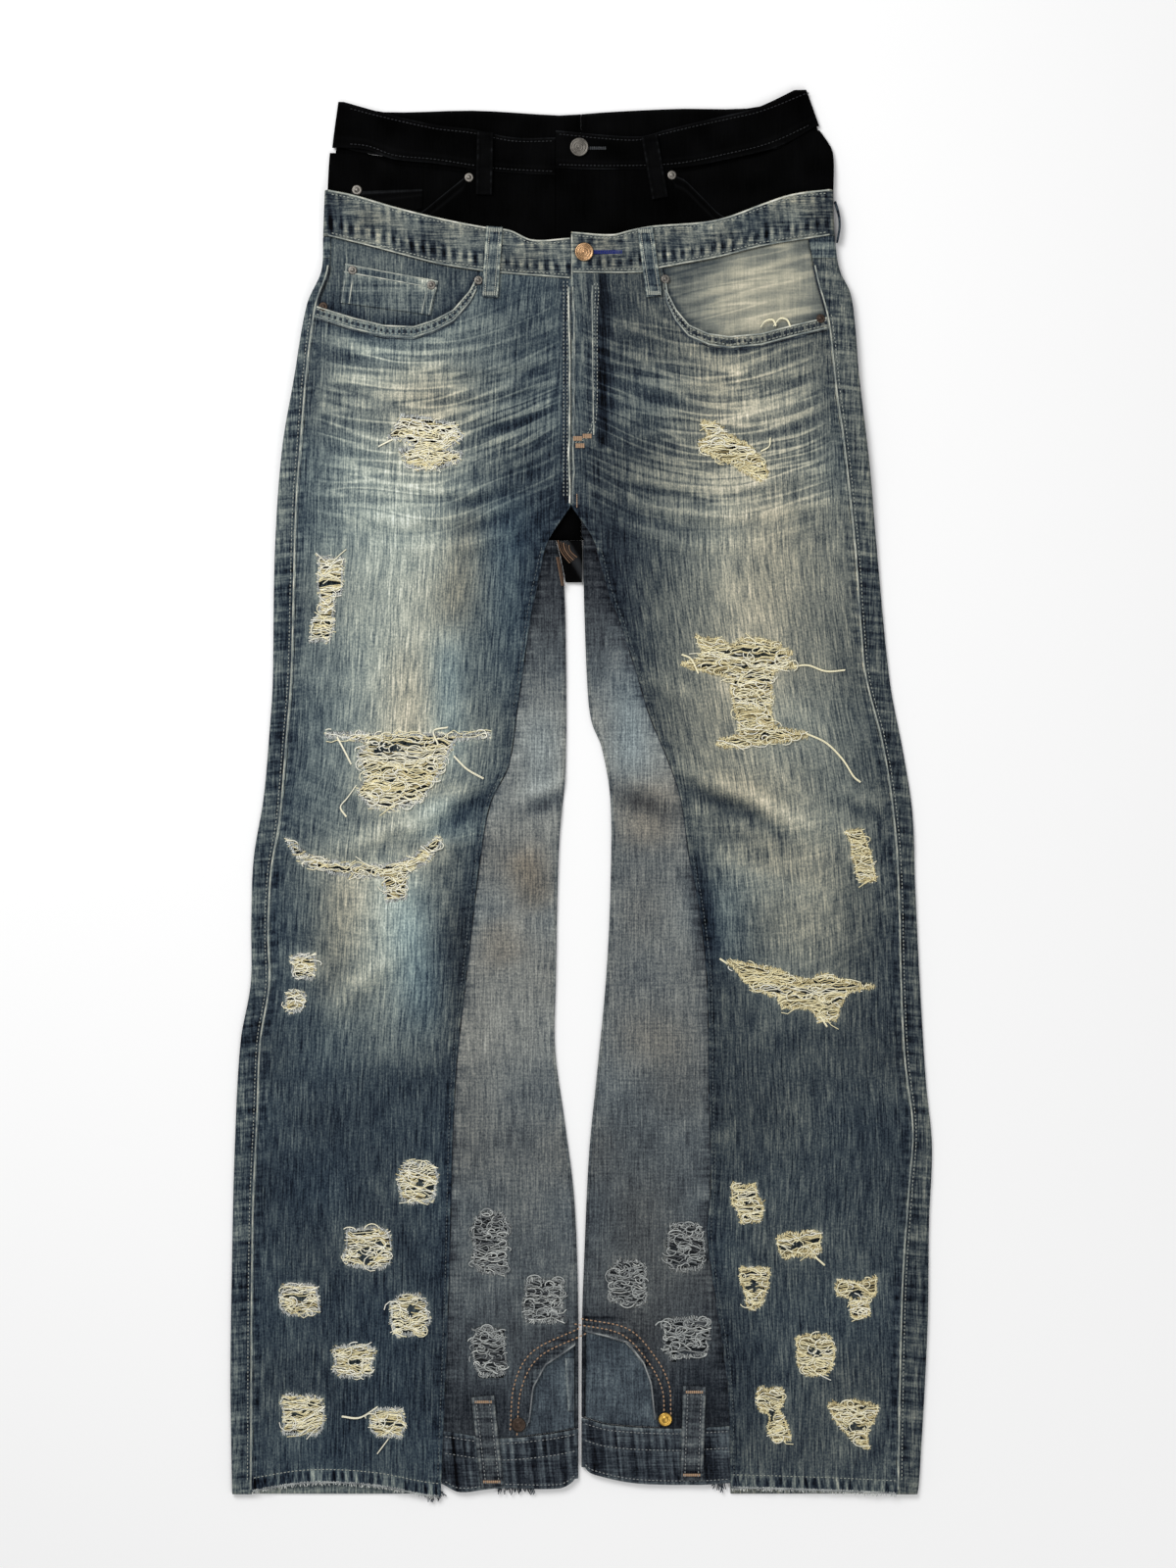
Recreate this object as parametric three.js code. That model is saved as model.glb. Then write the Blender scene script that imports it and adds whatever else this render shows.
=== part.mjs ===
// Ripped jeans sewn from three pairs, lying flat on their back.
// Millimetres. +Z up from the surface they lie on, +Y towards the waist, +X towards the wearer's left.
// The origin is under the middle of the garment. Side 'r' is the wearer's right, 'l' the wearer's left.
import * as THREE from 'three';

// ---- Cloth ----
const DENIM = 1.4;
const BLACK_DENIM = 1.2;
const LIGHT_CLOTH = 0.9;
const BAND = 2.1;
const BLACK_BAND = 2.2;
const LOOP_STRAP = 1.6;
const SEAM_GAP = 0.3;
const BLACK_SEAM_GAP = 1.6;

// ---- Heights of the middle of each layer above the surface, at the hips ----
const HIP_FRONT_HEIGHT = 9.6;
const BAND_HEIGHT = 9.75;
const HIP_FACING_HEIGHT = 8.05;
const HIP_COIN_HEIGHT = 9.25;
const FLY_FACING_HEIGHT = 8.1;
const BLACK_BACK_HEIGHT = 0.6;
const BLACK_FACING_HEIGHT = 2.9;
const BLACK_COIN_HEIGHT = 4.1;
const BLACK_FRONT_HEIGHT = 4.3;
const BLACK_BAND_HEIGHT = 3.7;
const BLACK_LIFT = 2.4;
const INSERT_FACING_HEIGHT = 2.5;
const INSERT_COIN_HEIGHT = 3.75;
const INSERT_BAND_HEIGHT = 4.2;

// ---- Landmarks along the garment ----
const CENTRE_SEAM_X = -8.4;
const BLACK_FLAP_X = -21.5;
const CROTCH_Y = 241;
const INSERT_TOP_Y = 212;
const BLACK_FRONT_END_Y = 252;
const OUTER_FOLD = 3.0;
const INNER_FOLD = 1.8;

// Smooth curve through rows of [place, value], places in falling or rising order.
function curve(rows) {
  const sorted = [...rows].sort((a, b) => a[0] - b[0]);
  const slope = (i) => {
    const before = sorted[Math.max(i - 1, 0)];
    const after = sorted[Math.min(i + 1, sorted.length - 1)];
    return (after[1] - before[1]) / (after[0] - before[0]);
  };
  return (place) => {
    const last = sorted.length - 1;
    if (place <= sorted[0][0]) return sorted[0][1];
    if (place >= sorted[last][0]) return sorted[last][1];
    let i = 0;
    while (sorted[i + 1][0] < place) i += 1;
    const span = sorted[i + 1][0] - sorted[i][0];
    const t = (place - sorted[i][0]) / span;
    const a = (2 * t ** 3 - 3 * t ** 2 + 1) * sorted[i][1];
    const b = (t ** 3 - 2 * t ** 2 + t) * span * slope(i);
    const c = (-2 * t ** 3 + 3 * t ** 2) * sorted[i + 1][1];
    const d = (t ** 3 - t ** 2) * span * slope(i + 1);
    return a + b + c + d;
  };
}

// Straight runs between rows of [place, value].
function line(rows) {
  const sorted = [...rows].sort((a, b) => a[0] - b[0]);
  return (place) => {
    const last = sorted.length - 1;
    if (place <= sorted[0][0]) return sorted[0][1];
    if (place >= sorted[last][0]) return sorted[last][1];
    let i = 0;
    while (sorted[i + 1][0] < place) i += 1;
    const t = (place - sorted[i][0]) / (sorted[i + 1][0] - sorted[i][0]);
    return THREE.MathUtils.lerp(sorted[i][1], sorted[i + 1][1], t);
  };
}

// ---- Outlines: rows of [y, x] ----
const SIDES = {
  r: {
    away: -1,
    outer: curve([[505, -215], [467, -216.5], [438, -218], [410, -230], [348, -241], [288, -251], [205, -257],
      [91, -259], [60, -261], [-3, -266.5], [-55, -275], [-108, -277], [-160, -277.5], [-209, -286],
      [-303, -291], [-419, -293.6], [-500, -294.4], [-590, -293]]),
    outseam: curve([[467, -211], [438, -212.5], [410, -222], [352, -230], [297, -234.5], [242, -238.6],
      [169, -241], [98, -243], [39, -247.6], [-24, -253], [-66, -260], [-118, -262.4], [-160, -261.5],
      [-209, -269], [-273, -271.8], [-361, -275.5], [-590, -277]]),
    insertSeam: curve([[CROTCH_Y, CENTRE_SEAM_X], [INSERT_TOP_Y, -27.5], [187, -34.5], [151, -42], [70, -54],
      [23, -61.5], [-7, -76], [-45, -83.6], [-139, -95], [-244, -106], [-419, -111.5], [-590, -118]]),
    inner: curve([[INSERT_TOP_Y, -21.5], [198, -18], [183, -15], [129, -13], [20, -13.2], [-33, -18], [-74, -19.7],
      [-156, -21.3], [-214, -22], [-275, -14], [-332, -6.6], [-384, -3.6], [-446, -2.4], [-590, -2.4]]),
    hem: curve([[0, -586], [0.18, -579], [0.4, -581], [0.62, -590.4], [1, -588]]),
    mouthOuterY: 408,
    waistX: [-9, -47, -87.2],
    waistTop: curve([[-214, 505.5], [-190, 500.6], [-157, 491], [-116, 481], [-80, 474], [-60, 471.5],
      [-41, 463.5], [-9, 465]]),
    waistLow: curve([[-213, 467], [-173, 457], [-123, 444], [-94, 439], [-71, 436], [-9, 431]]),
    mouth: line([[-222, 408], [-190, 398], [-165, 392], [-140, 391], [-123, 396.5], [-107, 405], [-93, 421],
      [-87.5, 432]]),
    blackEdge: curve([[580, -204], [541, -209], [505, -211], [440, -212]]),
    blackTop: curve([[-204, 580], [-170, 571], [-123, 560.5], [-93, 557], [-57, 550], [-21, 550]]),
    blackLow: curve([[-209, 542], [-180, 540], [-157, 532], [-123, 528.5], [-73, 521], [-21, 518]]),
    blackBackTop: curve([[-204, 580], [-170, 572], [-89, 573], [-18, 569], [0, 570]]),
    blackMouth: line([[-210, 455], [-165, 468], [-131, 489], [-113, 504], [-97, 517]]),
    insertBandTop: curve([[-117, -535], [-71, -541], [-29, -538], [-2, -533]]),
    insertBandLow: curve([[-117, -579], [-102, -586], [-71, -583], [-19, -583], [-8, -578], [-2, -570]]),
    insertMouth: line([[-44.5, -531], [-43.5, -526], [-40.4, -499], [-30, -480], [-14.8, -470], [-2, -461]]),
    insertMouthEndX: -44.5,
  },
  l: {
    away: 1,
    outer: curve([[505, 211], [464, 213], [438, 217], [420, 225.5], [394, 229.6], [352, 233], [275, 242],
      [217, 247], [94, 259], [32, 270.6], [-17, 278], [-79, 280.4], [-155, 284], [-244, 289.5], [-296, 294.4],
      [-361, 292], [-449, 290.7], [-578, 283.7], [-590, 282]]),
    outseam: curve([[466, 191], [431, 198], [397, 207], [336, 214], [302, 219], [246, 225.5], [197, 230.4],
      [139, 234.5], [98, 238.6], [46, 251.7], [-4, 260.3], [-67, 265.7], [-155, 268], [-224, 271.4],
      [-282, 278], [-332, 274.7], [-419, 269], [-590, 265.5]]),
    insertSeam: curve([[CROTCH_Y, CENTRE_SEAM_X], [INSERT_TOP_Y, 10.5], [169, 23], [139, 34.4], [101, 46.7], [64, 58],
      [28, 73], [-4, 83.6], [-54, 91], [-91, 98.4], [-155, 105.8], [-244, 107.4], [-332, 109], [-367, 106],
      [-419, 112.3], [-493, 123], [-590, 125.5]]),
    inner: curve([[INSERT_TOP_Y, 1.8], [200, 1.6], [145, 2.9], [82, 5.7], [59, 9], [39, 17], [-4, 24.4],
      [-79, 24.6], [-155, 20.9], [-229, 13.9], [-303, 6.6], [-391, 2.5], [-449, 0.6], [-590, 0.2]]),
    hem: curve([[0, -588], [0.3, -585], [0.62, -583], [1, -583]]),
    mouthOuterY: 399,
    waistX: [-8, 30, 70],
    waistTop: curve([[-8, 470], [26, 468], [43, 472], [60, 475], [104, 478.5], [124, 483], [151, 493],
      [177, 501.5], [211, 506]]),
    waistLow: curve([[-8, 436], [49, 436], [67, 440], [115, 449], [151, 458], [213, 468]]),
    mouth: line([[70, 434], [72, 420], [79.5, 405], [90, 392.5], [106.6, 385], [124, 382.5], [151, 385],
      [177, 392], [207, 399]]),
    blackEdge: curve([[590, 189], [562, 199], [539, 207.5], [505, 208], [440, 207]]),
    blackTop: curve([[-21, 556], [26, 551.5], [49, 551], [69, 556], [98, 563], [124, 568.7], [151, 575],
      [189, 590]]),
    blackLow: curve([[-21, 524], [22, 523], [80, 525], [126, 534], [160, 543], [199, 561]]),
    blackBackTop: curve([[0, 570], [26, 572], [80, 574.5], [151, 576], [189, 590]]),
    blackMouth: line([[77, 518], [87, 514], [98, 503], [115, 486], [150, 466], [206, 455]]),
    insertBandTop: curve([[0, -523.6], [23, -530], [75, -533], [125, -531]]),
    insertBandLow: curve([[0.4, -560], [5, -568], [13, -572], [44, -578.5], [97, -580], [125, -578.5]]),
    insertMouth: line([[0, -451], [21.7, -456], [39, -461], [52.5, -478.5], [58.8, -496], [61.5, -522],
      [62.5, -530]]),
    insertMouthEndX: 62.5,
  },
};

// Levels across the garment that the panels of a leg share, so that their seams match.
const BODY_LEVELS = [372, 340, 310, 285, 262, CROTCH_Y];
const LEG_LEVELS = [INSERT_TOP_Y, 195, 165, 130, 100, 72, 48, 26, 4, -18, -40, -62, -86, -112, -138, -164, -190,
  -216, -250, -300, -350, -400, -450];
const HEM_LEVELS = [-495, -535, -562];

// ---- Form of the upper layer ----
// Height of its middle where it lies flat: over four layers at the hips, over one in the legs.
const flatHeight = line([[600, HIP_FRONT_HEIGHT], [300, HIP_FRONT_HEIGHT], [250, 8.6], [212, 5.8], [165, 4.2],
  [120, 3.4], [-380, 3.4], [-440, 4.0], [-600, 4.0]]);
// Air kept between the layers, highest in the middle of the leg.
const loft = line([[320, 0], [220, 1.6], [0, 2.2], [-300, 1.6], [-440, 0]]);

// Largest folds: a path of [x, y], the half width of the rise and its height.
const FOLDS = [
  { path: [[-80, 14], [-130, -14], [-190, -38], [-250, -52]], width: 15, height: 5 },
  { path: [[-100, -98], [-158, -130], [-212, -180], [-256, -204]], width: 17, height: 4.5 },
  { path: [[46, 20], [76, 30], [120, 8], [170, -14], [225, -34], [258, -42]], width: 15, height: 6 },
  { path: [[148, 44], [198, -8], [222, -20]], width: 12, height: 2 },
  { path: [[40, 112], [100, 78], [130, 70]], width: 13, height: 3 },
  { path: [[-215, 262], [-150, 248], [-60, 262]], width: 12, height: 1.6 },
  { path: [[30, 262], [120, 248], [205, 262]], width: 12, height: 1.6 },
  { path: [[-24, 236], [-60, 180], [-82, 130]], width: 14, height: 2.2 },
  { path: [[10, 236], [44, 180], [72, 130]], width: 14, height: 2.2 },
  { path: [[-66, -86], [-40, -72], [-24, -58]], width: 13, height: 1.6 },
];

function foldRise(x, y) {
  let rise = 0;
  for (const fold of FOLDS) {
    let nearest = Infinity;
    let along = 0;
    const runs = fold.path.length - 1;
    for (let i = 0; i < runs; i += 1) {
      const [ax, ay] = fold.path[i];
      const [bx, by] = fold.path[i + 1];
      const length = (bx - ax) ** 2 + (by - ay) ** 2;
      const t = THREE.MathUtils.clamp(((x - ax) * (bx - ax) + (y - ay) * (by - ay)) / length, 0, 1);
      const distance = Math.hypot(x - ax - t * (bx - ax), y - ay - t * (by - ay));
      if (distance < nearest) {
        nearest = distance;
        along = (i + t) / runs;
      }
    }
    const fade = Math.sin(Math.PI * (0.12 + 0.76 * along));
    rise += fold.height * fade * Math.exp(-((nearest / fold.width) ** 2));
  }
  return rise;
}

function innerEdge(side, y) {
  if (y >= CROTCH_Y) return CENTRE_SEAM_X;
  if (y >= INSERT_TOP_Y) return side.insertSeam(y);
  return side.inner(y);
}

function upperHeight(side, x, y) {
  const across = THREE.MathUtils.clamp((x - side.outer(y)) / (innerEdge(side, y) - side.outer(y)), 0, 1);
  return flatHeight(y) + loft(y) * 4 * across * (1 - across) + foldRise(x, y);
}

// The black pair rises where it enters the blue waist.
function blackLift(y) {
  return BLACK_LIFT * (1 - THREE.MathUtils.smoothstep(y, 512, 545));
}

// ---- Solids ----
// A wall of cloth around a grid of points on its middle, grid[across][along].
function wall(grid, thickness) {
  const columns = grid.length;
  const rows = grid[0].length;
  const half = thickness / 2;
  const positions = [];
  const at = (i, j) => grid[Math.min(Math.max(i, 0), columns - 1)][Math.min(Math.max(j, 0), rows - 1)];
  for (const face of [1, -1]) {
    for (let i = 0; i < columns; i += 1) {
      for (let j = 0; j < rows; j += 1) {
        const across = at(i + 1, j).clone().sub(at(i - 1, j));
        const along = at(i, j + 1).clone().sub(at(i, j - 1));
        const normal = across.cross(along).normalize();
        const point = at(i, j).clone().addScaledVector(normal, face * half);
        positions.push(point.x, point.y, point.z);
      }
    }
  }
  const top = (i, j) => i * rows + j;
  const under = (i, j) => columns * rows + i * rows + j;
  const index = [];
  const quad = (a, b, c, d) => index.push(a, b, c, a, c, d);
  for (let i = 0; i < columns - 1; i += 1) {
    for (let j = 0; j < rows - 1; j += 1) {
      quad(top(i, j), top(i + 1, j), top(i + 1, j + 1), top(i, j + 1));
      quad(under(i, j), under(i, j + 1), under(i + 1, j + 1), under(i + 1, j));
    }
    quad(top(i, 0), under(i, 0), under(i + 1, 0), top(i + 1, 0));
    quad(top(i, rows - 1), top(i + 1, rows - 1), under(i + 1, rows - 1), under(i, rows - 1));
  }
  for (let j = 0; j < rows - 1; j += 1) {
    quad(top(0, j), top(0, j + 1), under(0, j + 1), under(0, j));
    quad(top(columns - 1, j), under(columns - 1, j), under(columns - 1, j + 1), top(columns - 1, j + 1));
  }
  const geometry = new THREE.BufferGeometry();
  geometry.setAttribute('position', new THREE.Float32BufferAttribute(positions, 3));
  geometry.setIndex(faceOutwards(positions, index));
  return geometry;
}

// Reverses the triangles of a closed mesh whose volume comes out negative.
function faceOutwards(positions, index) {
  const corner = (k) => new THREE.Vector3().fromArray(positions, index[k] * 3);
  let volume = 0;
  for (let k = 0; k < index.length; k += 3) {
    volume += corner(k).dot(corner(k + 1).cross(corner(k + 2)));
  }
  if (volume >= 0) return index;
  const turned = [];
  for (let k = 0; k < index.length; k += 3) turned.push(index[k], index[k + 2], index[k + 1]);
  return turned;
}

function gridOf(across, along, place) {
  return across.map((u) => along.map((v) => new THREE.Vector3(...place(u, v))));
}

const FINISHES = {
  blue: { color: '#4c5c6b', roughness: 0.9 },
  blueLight: { color: '#9aa29a', roughness: 0.9 },
  black: { color: '#0d0d0f', roughness: 0.92 },
  insert: { color: '#646b72', roughness: 0.9 },
  steel: { color: '#8c857c', roughness: 0.4, metalness: 1 },
  copper: { color: '#b98d66', roughness: 0.35, metalness: 1 },
  darkMetal: { color: '#4a4542', roughness: 0.45, metalness: 1 },
  brass: { color: '#b8913f', roughness: 0.35, metalness: 1 },
};

const garment = new THREE.Group();

function add(name, geometry, finish) {
  const mesh = new THREE.Mesh(geometry, new THREE.MeshStandardMaterial(FINISHES[finish]));
  mesh.name = name;
  garment.add(mesh);
  return mesh;
}

// Half an ellipse in the X-Z plane, round a folded edge, from the lower layer (0) to the upper (1).
function roundFold(edgeX, reach, away, low, high, turn) {
  const angle = Math.PI * (turn - 0.5);
  const middle = (low + high) / 2;
  const x = edgeX - away * reach * (1 - Math.cos(angle));
  return [x, middle + ((high - low) / 2) * Math.sin(angle)];
}

const FOLD_TURNS = [0.25, 0.5, 0.75, 1];

// ---- Blue fronts: upper layer from the waistband to the hem ----
// Places of its columns along the top edge: round the pocket mouth, then along the waistband.
function frontColumns(side) {
  const outside = side.outseam(side.mouthOuterY) - side.away * SEAM_GAP / 2;
  const [centre, middle, corner] = side.waistX;
  const pocket = [0, 0.21, 0.42, 0.62, 0.78, 0.89, 0.96].map((t) => THREE.MathUtils.lerp(outside, corner, t));
  return [...pocket, corner, middle, centre].map((x) => (
    { x, share: (x - outside) / (centre - outside) }
  ));
}

function blueFront(key) {
  const side = SIDES[key];
  const corner = side.waistX[2];
  const levels = [...BODY_LEVELS, ...LEG_LEVELS, ...HEM_LEVELS, 'hem'];
  const xAt = (u, y) => {
    const outside = side.outseam(y) - side.away * SEAM_GAP / 2;
    const seam = y >= CROTCH_Y ? CENTRE_SEAM_X : side.insertSeam(y);
    return THREE.MathUtils.lerp(outside, seam + side.away * SEAM_GAP / 2, u);
  };
  const topAt = (x) => (Math.abs(x) > Math.abs(corner) ? side.mouth(x) : side.waistLow(x) - SEAM_GAP);
  const grid = frontColumns(side).map(({ x: topX, share }) => {
    const x = share === 1 ? xAt(1, 430) : topX;
    const column = [new THREE.Vector3(x, topAt(topX), HIP_FRONT_HEIGHT)];
    for (const level of levels) {
      const y = level === 'hem' ? side.hem(share * 0.62) : level;
      column.push(new THREE.Vector3(xAt(share, y), y, upperHeight(side, xAt(share, y), y)));
    }
    return column;
  });
  add(`front_${key}`, wall(grid, DENIM), 'blue');
}

// ---- Blue back and yoke: lower layer, round the outer fold and up to the outseam ----
const YOKE_SIDE_Y = 448;
const YOKE_CENTRE_Y = 392;

function backStations(side) {
  const half = DENIM / 2;
  const place = (y) => {
    const edge = side.outer(y) - side.away * half;
    const foot = edge - side.away * OUTER_FOLD;
    const seam = y >= CROTCH_Y ? CENTRE_SEAM_X : side.insertSeam(y);
    return { edge, foot, seam: seam + side.away * SEAM_GAP / 2 };
  };
  const flat = (share) => (y) => {
    const { foot, seam } = place(y);
    return [THREE.MathUtils.lerp(seam, foot, share), y, half];
  };
  const round = (turn) => (y) => {
    const { edge, foot } = place(y);
    const high = upperHeight(side, foot, y);
    const [x, z] = roundFold(edge, OUTER_FOLD, side.away, half, high, turn);
    return [x, y, z];
  };
  const upper = (y) => {
    const x = side.outseam(y) + side.away * SEAM_GAP / 2;
    return [x, y, upperHeight(side, x, y)];
  };
  return [flat(0), flat(0.5), flat(1), ...FOLD_TURNS.map(round), upper];
}

function yokeLine(station, count) {
  const share = Math.min(station / 2, 1);
  return station < count ? THREE.MathUtils.lerp(YOKE_CENTRE_Y, YOKE_SIDE_Y, share) : YOKE_SIDE_Y;
}

function blueBack(key) {
  const side = SIDES[key];
  const stations = backStations(side);
  const levels = ['top', 384, ...BODY_LEVELS, ...LEG_LEVELS, ...HEM_LEVELS, 'hem'];
  const grid = stations.map((station, i) => levels.map((level) => {
    let y = level;
    if (level === 'top') y = yokeLine(i, stations.length) - SEAM_GAP / 2;
    if (level === 384) y = THREE.MathUtils.lerp(384, side.mouthOuterY, Math.min(i / 2, 1));
    if (level === 'hem') y = side.hem(i < 2 ? 0.6 - 0.3 * i : 0);
    return new THREE.Vector3(...station(y));
  }));
  add(`back_${key}`, wall(grid, DENIM), 'blue');
}

function blueYoke(key) {
  const side = SIDES[key];
  const stations = backStations(side);
  const sideTop = side.waistLow(side.outer(467) - side.away * 5) - 1;
  const seamTop = side.waistLow(side.outseam(460)) - 1;
  const grid = stations.map((station, i) => {
    const low = yokeLine(i, stations.length) + SEAM_GAP / 2;
    const top = i === stations.length - 1 ? seamTop : sideTop;
    return [top, low].map((y) => new THREE.Vector3(...station(y)));
  });
  add(`yoke_${key}`, wall(grid, DENIM), 'blue');
}

// ---- Waistbands: a strip over the front, round the side fold and along the back ----
function band(name, finish, shape) {
  const { away, frontAt, backAt, edge, reach, top, low, backTop, backLow, under, high, thickness, lift } = shape;
  const half = thickness / 2;
  const frontX = frontAt(low(0));
  const backX = backAt(low(0));
  const steps = shape.steps ?? [0, 0.16, 0.32, 0.48, 0.64, 0.82, 1];
  const stations = [];
  for (const t of steps) stations.push({ kind: 'front', t });
  for (const turn of [0.75, 0.5, 0.25]) stations.push({ kind: 'fold', turn });
  for (const t of [1, 0.66, 0.33, 0]) stations.push({ kind: 'back', t });
  const grid = stations.map((station) => [1, 0].map((v) => {
    const limit = (y) => edge(y) - away * (half + reach);
    if (station.kind === 'back') {
      const guess = THREE.MathUtils.lerp(backX, limit(backTop(backX)), station.t);
      const y = v ? backTop(guess) : backLow(guess);
      const x = THREE.MathUtils.lerp(backAt(y), limit(y), station.t);
      return new THREE.Vector3(x, y, under + lift(y));
    }
    const t = station.kind === 'front' ? station.t : 1;
    const guess = THREE.MathUtils.lerp(frontX, limit(low(edge(top(frontX)))), t);
    const y = v ? top(guess) : low(guess);
    if (station.kind === 'front') {
      return new THREE.Vector3(THREE.MathUtils.lerp(frontAt(y), limit(y), t), y, high + lift(y));
    }
    const [x, z] = roundFold(edge(y) - away * half, reach, away, under, high, station.turn);
    return new THREE.Vector3(x, y, z + lift(y));
  }));
  add(name, wall(grid, thickness), finish);
}

function blueWaistband(key) {
  const side = SIDES[key];
  const sideTop = side.waistTop(side.outer(505));
  const sideLow = side.waistLow(side.outer(467));
  const centre = CENTRE_SEAM_X + side.away * SEAM_GAP / 2;
  const foot = side.outer(sideLow) - side.away * (BAND / 2 + OUTER_FOLD);
  const shareOf = (x) => (x - centre) / (foot - centre);
  const [, middle, corner] = side.waistX;
  band(`waistband_${key}`, 'blue', {
    away: side.away,
    frontAt: () => centre,
    backAt: () => centre,
    steps: [0, shareOf(middle), shareOf(corner), 0.55, 0.7, 0.85, 1],
    edge: side.outer,
    reach: OUTER_FOLD,
    top: side.waistTop,
    low: side.waistLow,
    backTop: () => sideTop,
    backLow: () => sideLow,
    under: BAND / 2,
    high: BAND_HEIGHT,
    thickness: BAND,
    lift: () => 0,
  });
}

function blackWaistband(key) {
  const side = SIDES[key];
  const backHeight = 36;
  band(`black_waistband_${key}`, 'black', {
    away: side.away,
    frontAt: () => BLACK_FLAP_X + side.away * SEAM_GAP / 2,
    backAt: () => side.away * SEAM_GAP / 2,
    edge: side.blackEdge,
    reach: INNER_FOLD,
    top: side.blackTop,
    low: side.blackLow,
    backTop: side.blackBackTop,
    backLow: (x) => side.blackBackTop(x) - backHeight,
    under: BLACK_BAND / 2,
    high: BLACK_BAND_HEIGHT,
    thickness: BLACK_BAND,
    lift: blackLift,
  });
}

// ---- Black pair inside the blue waist ----
function blackFront(key) {
  const side = SIDES[key];
  const mouthX = side.away < 0 ? -96.9 : 77.1;
  const xAt = (u, y) => {
    const outside = side.blackEdge(y) - side.away;
    return THREE.MathUtils.lerp(outside, BLACK_FLAP_X + side.away * SEAM_GAP / 2, u);
  };
  const topAt = (x) => {
    const inPocket = Math.abs(x) > Math.abs(mouthX) && x * side.away > 0;
    return inPocket ? side.blackMouth(x) : side.blackLow(x) - BLACK_SEAM_GAP;
  };
  const columns = [0, 0.12, 0.24, 0.42, 0.48, 0.54, 0.59, 0.62, 0.8, 1];
  const levels = ['top', 'mid', 440, 340, BLACK_FRONT_END_Y];
  const grid = gridOf(columns, levels, (u, level) => {
    let y = level;
    const top = topAt(xAt(u, 500));
    if (level === 'top') y = top;
    if (level === 'mid') y = THREE.MathUtils.lerp(top, 440, 0.6);
    return [xAt(u, y), y, BLACK_FRONT_HEIGHT + blackLift(y)];
  });
  add(`black_front_${key}`, wall(grid, BLACK_DENIM), 'black');
}

function blackBack(key) {
  const side = SIDES[key];
  const levels = ['top', 524, 508, 440, 330, INSERT_TOP_Y + SEAM_GAP];
  const grid = gridOf([0, 0.33, 0.66, 1], levels, (u, level) => {
    const reachAt = (y) => side.blackEdge(y) - side.away * 3.2;
    const guess = THREE.MathUtils.lerp(side.away * SEAM_GAP / 2, reachAt(500), u);
    const y = level === 'top' ? side.blackBackTop(guess) - 36 - BLACK_SEAM_GAP : level;
    const x = THREE.MathUtils.lerp(side.away * SEAM_GAP / 2, reachAt(y), u);
    return [x, y, BLACK_BACK_HEIGHT + blackLift(y)];
  });
  add(`black_back_${key}`, wall(grid, BLACK_DENIM), 'black');
}

function blackFacing(key) {
  const side = SIDES[key];
  const inX = side.away < 0 ? -88 : 70;
  const lowest = 450;
  const grid = gridOf([0, 0.2, 0.4, 0.6, 0.8, 1], [1, 0.6, 0], (u, v) => {
    const guess = THREE.MathUtils.lerp(side.blackEdge(500) - side.away * 2, inX, u);
    const top = side.blackLow(guess) - 3 * BLACK_SEAM_GAP;
    const y = THREE.MathUtils.lerp(lowest, top, v);
    const x = THREE.MathUtils.lerp(side.blackEdge(y) - side.away * 2, inX, u);
    return [x, y, BLACK_FACING_HEIGHT + blackLift(y)];
  });
  add(`black_pocket_facing_${key}`, wall(grid, LIGHT_CLOTH), 'black');
}

// Coin pocket of the black pair, its top edge just above the blue waistband.
function blackCoinPocket() {
  const rim = line([[-193, 504.5], [-133, 506.5]]);
  const grid = gridOf([-193, -163, -133], [1, 0], (x, v) => {
    const y = v ? rim(x) : 491 - (x + 133) * -0.3;
    return [x, y, BLACK_COIN_HEIGHT + blackLift(y)];
  });
  add('black_coin_pocket', wall(grid, LIGHT_CLOTH), 'black');
}

// Seat of the black pair, seen between the legs under the crotch.
function blackSeat() {
  const leftEdge = line([[INSERT_TOP_Y, -20.4], [195, -16.2], [177, -13]]);
  const rightEdge = line([[INSERT_TOP_Y, 0.7], [177, 0.7]]);
  const grid = gridOf([0, 0.35, 0.7, 1], [211.8, 203, 195, 177], (u, y) => {
    const bow = 1.6 * Math.sin(Math.PI * u) * Math.sin(Math.PI * (211.8 - y) / 34.8);
    return [THREE.MathUtils.lerp(leftEdge(y), rightEdge(y), u), y, 3.0 + bow];
  });
  add('black_seat', wall(grid, BLACK_DENIM), 'black');
}

// ---- Pockets and fly of the blue pair ----
function blueFacing(key) {
  const side = SIDES[key];
  const inX = side.away < 0 ? -80 : 62;
  const below = 9;
  const grid = gridOf([0, 0.2, 0.4, 0.6, 0.8, 1], [1, 0.5, 0], (u, v) => {
    const outAt = (y) => side.outseam(y) - side.away * 1.2;
    const guess = THREE.MathUtils.lerp(outAt(430), inX, u);
    const top = side.waistLow(guess) - SEAM_GAP;
    const y = THREE.MathUtils.lerp(side.mouth(guess) - below, top, v);
    const x = THREE.MathUtils.lerp(outAt(y), inX, u);
    return [x, y, HIP_FACING_HEIGHT];
  });
  add(`pocket_facing_${key}`, wall(grid, LIGHT_CLOTH), key === 'l' ? 'blueLight' : 'blue');
}

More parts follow.
